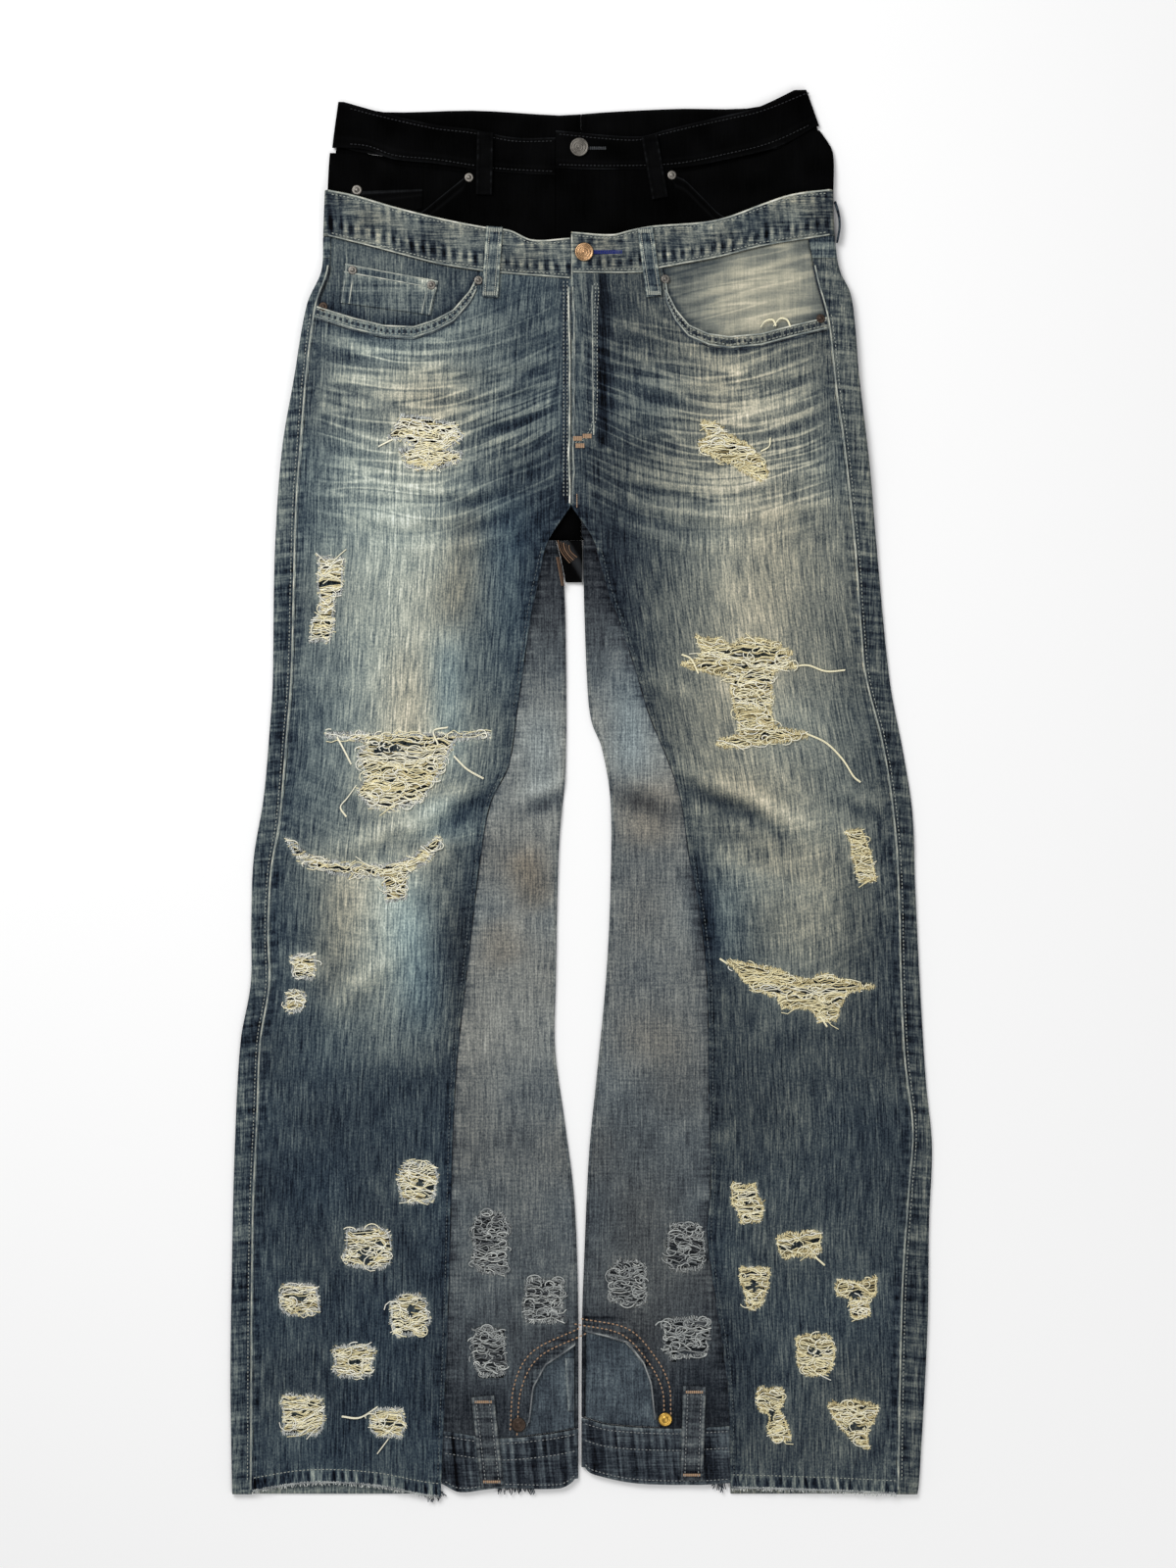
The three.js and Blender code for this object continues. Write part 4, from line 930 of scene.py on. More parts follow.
def path_tree(name, numbers, shape):
    """A node group that makes solids along every path of the mesh, by shape(wiring, inputs, path)."""
    found = bpy.data.node_groups.get(name)
    if found:
        return found
    tree = bpy.data.node_groups.new(name, "GeometryNodeTree")
    tree.interface.new_socket(name="Geometry", in_out="OUTPUT", socket_type="NodeSocketGeometry")
    socket(tree, "Geometry", "NodeSocketGeometry")
    for label, kind, default in numbers:
        socket(tree, label, kind, default)
    socket(tree, "Material", "NodeSocketMaterial")
    w = Wiring(tree)
    source = w.node("NodeGroupInput").outputs
    path = w.node("GeometryNodeMeshToCurve", {"Mesh": source["Geometry"]}).outputs[0]
    real = w.node("GeometryNodeRealizeInstances", {"Geometry": shape(w, source, path)}).outputs[0]
    smooth = w.node("GeometryNodeSetShadeSmooth", {"Geometry": real}).outputs[0]
    done = w.node("GeometryNodeSetMaterial", {"Geometry": smooth, "Material": source["Material"]}).outputs[0]
    w.node("NodeGroupOutput", {"Geometry": done})
    return tree


def stitch_shape(w, source, path):
    """Short beads spaced along the path and turned to it."""
    resample = {"Curve": path, "Length": source["Pitch"]}
    spaced = w.node("GeometryNodeResampleCurve", resample, mode="LENGTH").outputs[0]
    bead = w.node("GeometryNodeMeshUVSphere", {"Segments": 6, "Rings": 4, "Radius": 1.0}).outputs[0]
    tangent = w.node("GeometryNodeInputTangent").outputs[0]
    turn = w.node("FunctionNodeAlignRotationToVector", {"Vector": tangent}, axis="X").outputs[0]
    place = {"Points": spaced, "Instance": bead, "Rotation": turn, "Scale": source["Size"]}
    return w.node("GeometryNodeInstanceOnPoints", place).outputs[0]


def thread_shape(w, source, path):
    """Round thread along the path."""
    circle = {"Resolution": source["Sides"], "Radius": source["Radius"]}
    ring = w.node("GeometryNodeCurvePrimitiveCircle", circle).outputs[0]
    tube = {"Curve": path, "Profile Curve": ring, "Fill Caps": True}
    return w.node("GeometryNodeCurveToMesh", tube).outputs[0]


def stitch_tree():
    numbers = (("Pitch", "NodeSocketFloat", 0.003), ("Size", "NodeSocketVector", (0.0012, 0.0005, 0.0004)))
    return path_tree("Stitch runs", numbers, stitch_shape)


def thread_tree():
    numbers = (("Radius", "NodeSocketFloat", 0.0004), ("Sides", "NodeSocketInt", 3))
    return path_tree("Threads", numbers, thread_shape)


def along_paths(name, paths, tree, inputs, finish, shades=None):
    """One mesh of everything that the tree makes along the paths, which are rows of (x, y, z).

    Shades hold the lightness of each path, or of each place on it.
    """
    points, edges, shade = [], [], []
    for i, path in enumerate(paths):
        start = len(points)
        points += [(px * MM, py * MM, pz * MM) for px, py, pz in path]
        edges += [(start + k, start + k + 1) for k in range(len(path) - 1)]
        shade += list(np.broadcast_to(shades[i] if shades else 0.6, len(path)))
    mesh = bpy.data.meshes.new(name)
    mesh.from_pydata(points, edges, [])
    mesh.attributes.new("shade", "FLOAT", "POINT").data.foreach_set("value", np.array(shade, np.float32))
    piece = bpy.data.objects.new(name, mesh)
    bpy.context.scene.collection.objects.link(piece)
    modifier = piece.modifiers.new("Along paths", "NODES")
    modifier.node_group = tree
    chosen = dict(inputs, Material=materials()[finish])
    for item in tree.interface.items_tree:
        if item.in_out == "INPUT" and item.name in chosen:
            modifier[item.identifier] = chosen[item.name]
    evaluated = piece.evaluated_get(bpy.context.evaluated_depsgraph_get())
    made = bpy.data.meshes.new_from_object(evaluated)
    piece.modifiers.clear()
    piece.data = made
    made.name = name
    if not len(made.polygons):
        raise RuntimeError(f"{name} came out empty")
    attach(piece, "root")


# ---- Blue pair ----
def blue_inner(side, y):
    """Inner edge of the blue front and back: the centre seam, then the seam to the inner panel."""
    return np.where(y >= CROTCH_Y, CENTRE_SEAM_X, side.insert_seam(y))


def front_hem(side, across):
    """Height of the blue front's hem: the inner panel takes the rest of the leg's width."""
    return side.hem(across * FRONT_SHARE)


def edge_offsets(width):
    """Places across a panel, finer beside its two edges."""
    near = [0, 0.8, 1.8, 3.0, 4.6, 6.6, 9.0]
    middle = even(11.4, width - 11.4, max(2, int((width - 22.8) / cell_size())))
    return np.concatenate([near, middle, width - np.array(near[::-1])]) / width


def leg_rows(low):
    return even(LEG_TOP_Y, low, int((LEG_TOP_Y - low) / cell_size()))


def front_grid(side):
    """Places of a blue front, from its pocket mouth and waist seam to the hem."""
    u = edge_offsets(200.0)[:, None]
    x_at = lambda y: mix(side.outseam(y), blue_inner(side, y), u)
    top_of = lambda x: np.where(np.abs(x) > abs(side.corner), side.mouth(x), side.waist_low(x) - SEAM_GAP)
    top = top_of(x_at(top_of(x_at(np.full((1, 1), 420.0)))))
    drops = np.array([0, 0.8, 1.8, 3.0, 4.5, 6.2, 7.6, 9.0, 11, 13.5, 16, 19, 22, 25, 28, 31, 34, 37])[None,
                                                                                                       :]
    drops = drops / drops.max()
    upper = mix(top, 374.0, drops)
    body = np.broadcast_to(leg_rows(LEG_LOW_Y)[None, :], (len(u), len(leg_rows(LEG_LOW_Y))))
    hem = front_hem(side, u)
    lower = mix(-564.0, hem, even(0, 1, 12)[None, :])
    y = np.concatenate([upper, body, lower], 1)
    x = x_at(y)
    return x, y, np.broadcast_to(top, y.shape), np.broadcast_to(hem, y.shape)


def leg_grain(side, x, y):
    """Grain coordinates: the warp follows the leg."""
    middle = (side.outseam(y) + side.insert_seam(np.minimum(y, 200))) / 2
    lean = 0.6 * (middle - (side.outseam(200) + side.insert_seam(200)) / 2)
    return x - lean, y + 0.35 * creases(x, y)[0] * 3


def whiskers(side, x, y):
    """Where the cloth is crushed into whiskers, and the bent height that each whisker keeps."""
    middle = -150 if side.away < 0 else 110
    arc = y - 0.002 * (x - middle) ** 2 + 5 * drift(x, y, 60, 43)
    hip = np.exp(-(((y - 318) / 92) ** 4)) * ease((np.abs(x - CENTRE_SEAM_X) - 4) / 16)
    hip = hip * ease((np.abs(x - side.outseam(y)) - 2) / 30)
    knee = 0.25 * bump(y + 20, 70) + 0.2 * bump(y + 130, 60)
    return np.clip(hip + knee, 0, 1) * (0.75 + 0.25 * drift(x, y, 45, 44)), arc


def blue_front(key):
    side = SIDES[key]
    x, y, top, hem = front_grid(side)
    from_seam = np.abs(x - side.outseam(y))
    from_inner = np.abs(x - blue_inner(side, y))
    from_top = np.where(np.abs(x) > abs(side.corner), top - y, 60)
    from_hem = y - hem
    welt = bump(from_seam, 1.5) + bump(from_top, 1.3) + 0.7 * bump(from_hem, 1.5)
    second = bump(from_top - 8, 1.3) + 0.8 * bump(from_hem - 11, 1.2)
    z = upper_height(side, x, y) + 0.5 * welt + 0.25 * second + 0.35 * bump(from_inner, 3)
    rung = rung_wave(y, 9.4, 2.2, 2.2 * drift(x, y, 30, 46))
    spoke = rung_wave(x, 7.6, 2.2, 2.0 * drift(x, y, 25, 47))
    light = blue_light(x, y) + 40 * welt * (0.7 + 0.5 * drift(x, y, 9, 45)) + 20 * second
    # the darkening 12.5 mm below the pocket mouth is painted shadow under its welt
    light = light - 22 * bump(from_top - 5, 2.6) - 20 * bump(from_top - 12.5, 2)
    light = light + 12 * rung * bump(from_seam - 4, 3) + 34 * spoke * bump(from_hem - 5.5, 5)
    light = light + 36 * frayed(x, y, BLUE_RIPS[key], 2.6)
    fly = (key == "l") * (y > 290)
    light = light + fly * (26 * bump(x - 10.5, 2.0) - 24 * bump(x - 6.5, 2.2) - 34 * bump(x - 17.5, 5.5))
    z = z + 0.6 * fly * bump(x - 10.5, 2.4)
    # the darkening 11 mm below the pocket mouth is painted shadow under its welt
    light = light - 12 * bump(from_seam - 5, 3) - 18 * bump(from_top - 11, 3) + 6 * bump(from_top - 4, 2)
    light = light + np.where(y < CROTCH_Y, 10 * bump(from_inner, 1.6) - 16 * bump(from_inner - 4, 4),
                             50 * bump(from_inner, 1.6) - 26 * bump(from_inner - 5, 3.4) * (key == "r"))
    rope = 0.55 * bump(from_seam, 7) + 0.75 * (from_top < 8) + 0.85 * ease((13 - from_hem) / 4)
    rope = rope + 0.45 * bump(from_inner, 8)
    run = np.where((from_hem < 14) | (from_top < 12), x + 0.2 * y, y + 0.12 * np.abs(x))
    crush, arc = whiskers(side, x, y)
    cloth(f"front_{key}", (x, y, z), DENIM, "blue_denim", light,
          warm=blue_warmth(x, y), rope=np.clip(rope, 0, 1), run=run, crush=crush, arc=arc,
          grain=leg_grain(side, x, y), rips=BLUE_RIPS[key])


def wrap_grid(side, y_of, seam_of):
    """Places of a lower layer from its inner seam, round the outer fold and up to the outseam."""
    half = DENIM / 2

    def at(y):
        edge = side.outer(y) - side.away * half
        return edge, edge - side.away * OUTER_FOLD

    xs, ys, zs = [], [], []
    for t in even(0, 1, 8):
        y = y_of(t)
        xs.append(mix(seam_of(y), at(y)[1], t))
        ys.append(y)
        zs.append(np.full(y.shape, half))
    y = y_of(1.0)
    edge, foot = at(y)
    high = upper_height(side, foot, y)
    for turn in even(0.12, 1, 8):
        swell, z = fold_arc(turn, half, high)
        xs.append(edge - side.away * OUTER_FOLD * swell)
        ys.append(y)
        zs.append(z)
    for t in even(0.12, 1, 9):
        x = mix(foot, side.outseam(y) - side.away * 0.9, t)
        xs.append(x)
        ys.append(y)
        zs.append(upper_height(side, x, y) - 0.55 * ease((t - 0.8) / 0.2))
    return np.array(xs), np.array(ys), np.array(zs)


def blue_back(key):
    side = SIDES[key]
    t = even(0, 1, int((YOKE_SIDE_Y - BACK_LOW_Y) / cell_size()))
    x, y, z = wrap_grid(side, lambda share: mix(mix(YOKE_CENTRE_Y, YOKE_SIDE_Y, share) - 0.15, BACK_LOW_Y, t),
                        lambda y: blue_inner(side, y))
    from_seam = np.abs(x - side.outseam(y))
    upper = z > 2.0
    light = np.where(upper, 70 + 10 * drift(x, y, 30, 24) - 16 * bump(from_seam - 3, 3), 74)
    light = light + np.where(upper & (y > 200), 16, 0) + 0.8 * creases(x, y)[1]
    rung = rung_wave(y, 9.4, 2.0, 2.5 * drift(x, y, 26, 27))
    light = light + upper * (15 * rung * bump(from_seam - 6, 5) + 20 * bump(from_seam - 13, 1.6))
    light = light + 60 * bump(y - BACK_LOW_Y, 7) * (0.7 + 0.5 * drift(x, y, 5, 28))
    cloth(f"back_{key}", (x, y, z), DENIM, "blue_denim", light,
          warm=0.35 if key == "l" else 0.0, rope=np.where(upper, 0.52, 0.2), run=y + 0.12 * np.abs(x))


def blue_yoke(key):
    side = SIDES[key]
    high = float(side.waist_low(side.outer(467))) - 1
    t = even(0, 1, 12)
    x, y, z = wrap_grid(side, lambda share: mix(high, mix(YOKE_CENTRE_Y, YOKE_SIDE_Y, share) + 0.15, t),
                        lambda y: CENTRE_SEAM_X + 0 * y)
    light = 78 + 14 * drift(x, y, 9, 26) + 40 * bump(y - YOKE_SIDE_Y - 1, 1.5)
    cloth(f"yoke_{key}", (x, y, z), DENIM, "blue_denim", light, rope=0.7)


def band_grid(side, front_at, back_at, edge, reach, top, low, back_top, back_low, under, high, thickness,
              steps=110, lift=lambda y: 0 * y, away=None):
    """Places of a waistband: over the front, round the fold and along the back. Also its share upwards."""
    away = away if away is not None else side.away
    half = thickness / 2
    limit = lambda y: edge(y) - away * (half + reach)
    up = even(0, 1, 15)[None, :]
    start = front_at(low(front_at(0.0)))
    end = limit(low(edge(top(start))))
    xs, ys, zs = [], [], []
    for t in even(0, 1, steps):
        guess = mix(start, end, t)
        y = mix(low(guess), top(guess), up)
        xs.append(mix(front_at(y), limit(y), t))
        ys.append(y)
        zs.append(high + lift(y) + 0 * y)
    for turn in (0.88, 0.75, 0.62, 0.5, 0.38, 0.25, 0.12):
        y = mix(low(end), top(end), up)
        swell, z = fold_arc(turn, under, high)
        xs.append(edge(y) - away * half - away * reach * swell)
        ys.append(y)
        zs.append(z + lift(y))
    for t in even(1, 0, 12):
        guess = mix(back_at, limit(back_top(back_at)), t)
        y = mix(back_low(guess), back_top(guess), up)
        xs.append(mix(back_at, limit(y), t))
        ys.append(y)
        zs.append(under + lift(y) + 0 * y)
    x, y, z = (np.concatenate([np.broadcast_to(r, (1, 15)) for r in rows], 0) for rows in (xs, ys, zs))
    return x, y, z, np.broadcast_to(up, x.shape), steps


def blue_waistband(key):
    side = SIDES[key]
    side_top, side_low = float(side.waist_top(side.outer(505))), float(side.waist_low(side.outer(467)))
    x, y, z, up, steps = band_grid(
        side, lambda y: CENTRE_SEAM_X + side.away * SEAM_GAP / 2 + 0 * np.asarray(y), CENTRE_SEAM_X,
        side.outer,
        OUTER_FOLD, side.waist_top, side.waist_low, lambda g: side_top + 0 * g, lambda g: side_low + 0 * g,
        BAND / 2, BAND_HEIGHT, BAND, 170)
    front = np.arange(len(x))[:, None] < steps + 4
    flap = np.abs(x - CENTRE_SEAM_X) * front + 60 * ~front
    z = z + np.where(front, 0.5 * drift(x, y, 12, 81) + 0.6 * np.sin(np.pi * up) ** 0.5, 0)
    z = z + 0.5 * bump(flap, 2) * (key == "l")
    rung = rung_wave(x, 8.7, 2.6, 1.8 * drift(x, y, 34, 85))
    light = 94 + 18 * drift(x, y, 16, 82) + 10 * drift(x, y, 5, 84)
    light = light + 60 * bump(1 - up, 0.055) + 34 * bump(up, 0.045)
    light = light + (50 * rung - 20) * bump(up - 0.27, 0.13) + 22 * rung * bump(up - 0.82, 0.1)
    light = light - 34 * bump(up - 0.46, 0.035) - 24 * bump(up - 0.1, 0.03) - 20 * bump(up - 0.93, 0.03)
    light = light + 50 * bump(flap, 1.6) * (key == "l")
    light = light - 24 * bump(np.abs(x) - abs(side.outer(y)) + 9, 7) * front
    light = np.where(front, light, 60)
    rope = np.where(front, 0.5 + 0.5 * bump(up - 0.33, 0.22) + 0.4 * bump(up - 0.95, 0.08), 0.2)
    cloth(f"waistband_{key}", (x, y, z), BAND, "blue_denim", light,
          warm=0.4 + 0.25 * drift(x, y, 20, 83), rope=0.7 * np.clip(rope, 0, 1), run=x + 0.1 * y,
          grain=(y, x))


def facing_grid(x_at, top_of, low_of, height, columns=36, rows=24):
    """Places of a flat piece between an upper and a lower line."""
    u, v = shares(columns, rows)
    guess = x_at(u, 420.0)
    top, low = top_of(guess), low_of(guess)
    y = mix(top, low, v)
    x = x_at(u, y)
    return x, y, height + 0 * x


def blue_facing(key):
    side = SIDES[key]
    inner = -80.0 if key == "r" else 62.0
    x, y, z = facing_grid(
        lambda u, y: mix(side.outseam(y) - side.away * 1.2, inner, u),
        lambda x: side.waist_low(x) - SEAM_GAP, lambda x: side.mouth(x) - 9, HIP_FACING_HEIGHT, 60, 40)
    if key == "l":
        slant = np.sin((y - 0.2 * x) / 2.4 + 2.4 * drift(x, y, 30, 92))
        from_rim = y - side.mouth(x)
        light = 104 + 56 * ease((x - 84) / 60) - 44 * ease((x - 172) / 30) + 10 * slant
        # the darkening just above the mouth edge is painted shadow cast by the front onto the facing
        light = light + 13 * drift(x, y, 12, 93) + 10 * drift(x, y, 30, 97) - 34 * bump(from_rim - 2,
                                                                                        5) - 22 * bump(x - 66,
                                                                                                       9)
        light = light - 34 * bump(side.waist_low(x) - y, 15)
        z = z + 0.3 * slant
        finish = "bleached_denim"
    else:
        # the darkening just above the mouth edge is painted shadow cast by the front onto the facing
        light = 84 + 14 * drift(x, y, 22, 94) - 30 * bump(y - side.mouth(x) - 2, 5)
        z = z + 0.3 * drift(x, y, 18, 95)
        finish = "blue_denim"
    cloth(f"pocket_facing_{key}", (x, y, z), LIGHT_CLOTH, finish, light,
          warm=0.5 if key == "l" else 0.1, rope=0.1, crush=0.35 if key == "l" else 0.0,
          arc=y - 0.2 * x)


def quad_grid(corners, height, columns, rows):
    """Places of a four-cornered piece: corners are the two of its top edge, then of its bottom edge."""
    u, v = shares(columns, rows)
    (ax, ay), (bx, by), (cx, cy), (dx, dy) = corners
    x = mix(mix(ax, bx, u), mix(cx, dx, u), v)
    y = mix(mix(ay, by, u), mix(cy, dy, u), v)
    return x, y, height + 0 * x, np.broadcast_to(u, x.shape), np.broadcast_to(v, x.shape)


def blue_coin_pocket():
    x, y, z, u, v = quad_grid(COIN_CORNERS, HIP_COIN_HEIGHT, 44, 24)
    wide = 78.0
    sides = bump(u * wide - 2, 1.3) + bump(u * wide - 8, 1.3) + bump((1 - u) * wide - 2, 1.3)
    sides = sides + bump((1 - u) * wide - 8, 1.3)
    rim = bump(v * 30 - 1, 1.3) + bump(v * 30 - 8, 1.3)
    light = 92 + 10 * drift(x, y, 14, 96) + 26 * sides + 34 * rim - 24 * bump(u * wide - 5, 1.6)
    light = light + 90 * bump(np.hypot(x + 131, y - 429), 6)
    cloth("coin_pocket", (x, y, z + 0.3 * sides + 0.3 * rim), LIGHT_CLOTH, "blue_denim", light,
          rope=0.5)


def fly_facing():
    right = line([(436, 22), (330, 20), (298, 4)])
    levels = even(435, 298, 40)[None, :]
    u = even(0, 1, 12)[:, None]
    x = mix(CENTRE_SEAM_X + 1, right(levels), u)
    y = np.broadcast_to(levels, x.shape)
    cloth("fly_facing", (x, y, FLY_FACING_HEIGHT + 0 * x), LIGHT_CLOTH, "blue_denim", 60 + 0 * x)


# ---- Black pair inside the blue waist ----
def black_waistband(key):
    side = SIDES[key]
    x, y, z, up, steps = band_grid(
        side, lambda y: BLACK_FLAP_X + side.away * SEAM_GAP / 2 + 0 * np.asarray(y), side.away * SEAM_GAP / 2,
        side.black_edge, INNER_FOLD, side.black_top, side.black_low, side.black_back_top,
        lambda g: side.black_back_top(g) - 36, BLACK_BAND / 2, BLACK_BAND_HEIGHT, BLACK_BAND, lift=black_lift)
    front = np.arange(len(x))[:, None] < steps + 4
    z = z + np.where(front, 0.4 * drift(x, y, 14, 101), 0)
    light = 9 + 8 * drift(x, y, 20, 102) + 24 * bump(1 - up, 0.05)
    light = light + 18 * bump(up, 0.05) + 9 * bump(up - 0.2, 0.03)
    cloth(f"black_waistband_{key}", (x, y, z), BLACK_BAND, "black_denim", light,
          rope=0.6 * bump(up, 0.1) + 0.5 * bump(1 - up, 0.1))


def black_front(key):
    side = SIDES[key]
    u = edge_offsets(190.0)[:, None]
    x_at = lambda y: mix(side.black_edge(y) - side.away, BLACK_FLAP_X + side.away * SEAM_GAP / 2, u)
    guess = x_at(np.full((1, 1), 500.0))
    pocket = (np.abs(guess) > abs(side.black_mouth_x)) & (guess * side.away > 0)
    top = np.where(pocket, side.black_mouth(guess), side.black_low(guess) - 0.6)
    y = mix(top, BLACK_FRONT_END_Y, even(0, 1, 90)[None, :] ** 1.4)
    x = x_at(y)
    from_top = np.broadcast_to(top, y.shape) - y
    z = BLACK_FRONT_HEIGHT + black_lift(y) + 0.4 * drift(x, y, 24, 103) + 0.4 * bump(from_top, 2)
    rim = np.where(np.broadcast_to(pocket, y.shape), bump(from_top, 1.5) + 0.7 * bump(from_top - 8, 1.3), 0)
    light = 8 + 6 * drift(x, y, 26, 104) + 30 * rim
    cloth(f"black_front_{key}", (x, y, z), BLACK_DENIM, "black_denim", light)


def black_back(key):
    side = SIDES[key]
    u = even(0, 1, 24)[:, None]
    x_at = lambda y: mix(side.away * SEAM_GAP / 2, side.black_edge(y) - side.away * 3.2, u)
    guess = x_at(np.full((1, 1), 500.0))
    top = side.black_back_top(guess) - 37
    y = mix(top, INSERT_TOP_Y + SEAM_GAP, even(0, 1, 40)[None, :])
    x = x_at(y)
    cloth(f"black_back_{key}", (x, y, BLACK_BACK_HEIGHT + black_lift(y)), BLACK_DENIM, "black_denim",
          6 + 26 * (x > 2) * (y < 241))


def black_facing(key):
    side = SIDES[key]
    inner = -88.0 if key == "r" else 70.0
    flare = 5.5 if key == "l" else 3.6
    x, y, z = facing_grid(
        lambda u, y: mix(side.black_edge(y) - side.away * (2 - flare * ease((562 - y) / 26)), inner, u),
        lambda x: side.black_low(x) - 4.8, lambda x: 450 + 0 * x, BLACK_FACING_HEIGHT)
    cloth(f"black_pocket_facing_{key}", (x, y, z + black_lift(y)), LIGHT_CLOTH, "black_denim",
          10 + 5 * drift(x, y, 15, 105))


def black_coin_pocket():
    x, y, z, u, v = quad_grid([(-193, 504.5), (-133, 506.5), (-193, 472), (-133, 490)], BLACK_COIN_HEIGHT, 26,
                              14)
    light = 10 + 34 * bump(v * 24 - 1, 1.4) + 16 * bump(v * 24 - 7, 1.4)
    cloth("black_coin_pocket", (x, y, z + black_lift(y)), LIGHT_CLOTH, "black_denim", light)


def black_seat():
    left = line([(INSERT_TOP_Y, -20.4), (195, -16.2), (177, -13)])
    levels = even(211.8, 177, 30)[None, :]
    u = even(0, 1, 24)[:, None]
    x = mix(left(levels), 0.7, u)
    y = np.broadcast_to(levels, x.shape)
    fold = np.sin((x + 0.6 * y) / 4.2) * 0.9
    z = 3.6 + 1.6 * np.sin(np.pi * u) * np.sin(np.pi * (211.8 - y) / 34.8) + fold
    # the lighter tops of the folds are a painted highlight
    cloth("black_seat", (x, y, z), BLACK_DENIM, "black_denim", 16 + 40 * np.maximum(fold, 0))


# ---- Inner leg panels ----
def insert_low(side, x):
    in_pocket = np.abs(x) < abs(side.insert_mouth_end)
    return np.where(in_pocket, side.insert_mouth(x), side.insert_band_top(x) + SEAM_GAP)


def insert_front(key):
    side = SIDES[key]
    u = edge_offsets(90.0)[:, None]

    def x_at(y):
        seam = side.insert_seam(y) + side.away * 0.8
        free = side.inner(y) + side.away * (INNER_FOLD + DENIM / 2)
        free = free - (key == "l") * 3.8 * ease((y - INSERT_TOP_Y) / 2.5)
        safe = side.away * np.minimum(side.away * free, side.away * seam - 1.2)
        return mix(seam, safe, u)

    low = insert_low(side, x_at(np.full((1, 1), -500.0)))
    high = INSERT_TOP_Y if key == "r" else CROTCH_Y - 2
    body = even(high, INSERT_LOW_Y, int((high - INSERT_LOW_Y) / cell_size()))[None, :]
    tail = np.array([0.04, 0.1, 0.2, 0.3, 0.4, 0.5, 0.6, 0.68, 0.76, 0.82, 0.87, 0.91, 0.94, 0.965, 0.985,
                     1.0])
    y = np.concatenate([np.broadcast_to(body, (len(u), body.shape[1])),
                        mix(INSERT_LOW_Y, low, tail[None, :])], 1)
    x = x_at(y)
    from_low = y - low
    in_pocket = np.broadcast_to(np.abs(x_at(np.full((1, 1), -500.0))) < abs(side.insert_mouth_end), y.shape)
    rim = np.where(in_pocket, bump(from_low, 2.2), 0)
    from_seam = np.abs(x - side.insert_seam(y))
    z = upper_height(side, x, y) - 0.5 * bump(from_seam, 3) + 0.4 * rim
    z = z + 0.5 * in_pocket * bump(from_low - 8, 7)
    # the darkening along the seam is painted shadow under the blue front's lapped edge
    light = insert_light(x, y) + 26 * frayed(x, y, INSERT_RIPS[key], 3.0) + 60 * rim - 18 * bump(from_seam, 5)
    light = light - 10 * in_pocket * bump(from_low - 12, 8)
    rope = 0.6 * bump(from_seam, 9) + 0.4 * bump(x - side.inner(y), 5) + 0.7 * (from_low < 20) * in_pocket
    cloth(f"insert_front_{key}", (x, y, z), DENIM, "grey_blue_denim", light,
          warm=insert_warmth(x, y), rope=np.clip(rope, 0, 1),
          rips=INSERT_RIPS[key])


def insert_back(key):
    side = SIDES[key]
    half = DENIM / 2
    low = float(side.insert_band_top(side.inner(-530))) + SEAM_GAP
    y = even(INSERT_TOP_Y, low, int((INSERT_TOP_Y - low) / cell_size()))
    foot = side.inner(y) + side.away * (half + INNER_FOLD)
    high = upper_height(side, foot, y)
    xs = [mix(side.insert_seam(y), foot, t) for t in even(0, 1, 6)]
    zs = [np.full(y.shape, half)] * 6
    for turn in even(0.12, 1, 8):
        swell, z = fold_arc(turn, half, high)
        xs.append(side.inner(y) + side.away * half + side.away * INNER_FOLD * swell)
        zs.append(z)
    x, z = np.array(xs), np.array(zs)
    y = np.broadcast_to(y, x.shape)
    light = np.where(z > 2, insert_light(x, y) - 6, 66)
    cloth(f"insert_back_{key}", (x, y, z), DENIM, "grey_blue_denim", light, rope=0.4)


def insert_waistband(key):
    side = SIDES[key]
    seam_at = lambda y: side.insert_seam(np.minimum(y, -500)) - side.away * SEAM_GAP
    x, y, z, up, steps = band_grid(
        side, seam_at, float(seam_at(-540)), side.inner, INNER_FOLD, side.insert_band_top,
        side.insert_band_low,
        side.insert_band_top, side.insert_band_low, BLACK_BAND / 2, INSERT_BAND_HEIGHT, BLACK_BAND, 60,
        away=-side.away)
    front = np.arange(len(x))[:, None] < steps + 4
    z = z + np.where(front, 0.4 * drift(x, y, 11, 111), 0)
    rung = rung_wave(x, 7.4, 2.2, 2.0 * drift(x, y, 30, 116))
    light = 52 + 18 * drift(x, y, 13, 112) + 9 * drift(x, y, 5, 115)
    light = light + 44 * bump(up, 0.05) + 50 * bump(1 - up, 0.04) + (18 * rung + 10) * bump(up - 0.78, 0.12)
    light = light - 20 * bump(up - 0.62, 0.03) + 24 * bump(up - 0.56, 0.03)
    light = np.where(front, light, 50)
    cloth(f"insert_waistband_{key}", (x, y, z), BLACK_BAND, "grey_blue_denim", light,
          warm=-0.3, rope=np.where(front, 0.9, 0.2), run=x + 0.1 * y,
          grain=(y, x))


def insert_facing(key):
    side = SIDES[key]
    deep = side.insert_mouth_end + side.away * 8
    u, v = shares(26, 40)
    edge_at = lambda y: side.inner(y) + side.away * (INNER_FOLD + DENIM + SEAM_GAP)
    guess = mix(edge_at(-500.0), deep, u)
    y = mix(side.insert_band_top(guess) + 1.0, side.insert_mouth(guess) + 8, v)
    x = mix(edge_at(y), deep, u)
    light = 76 + 16 * drift(x, y, 14, 113) + 10 * drift(x, y, 5, 117)
    cloth(f"insert_pocket_facing_{key}", (x, y, INSERT_FACING_HEIGHT + 0.3 * drift(x, y, 14, 114)),
          LIGHT_CLOTH, "grey_blue_denim", light, warm=-0.5)


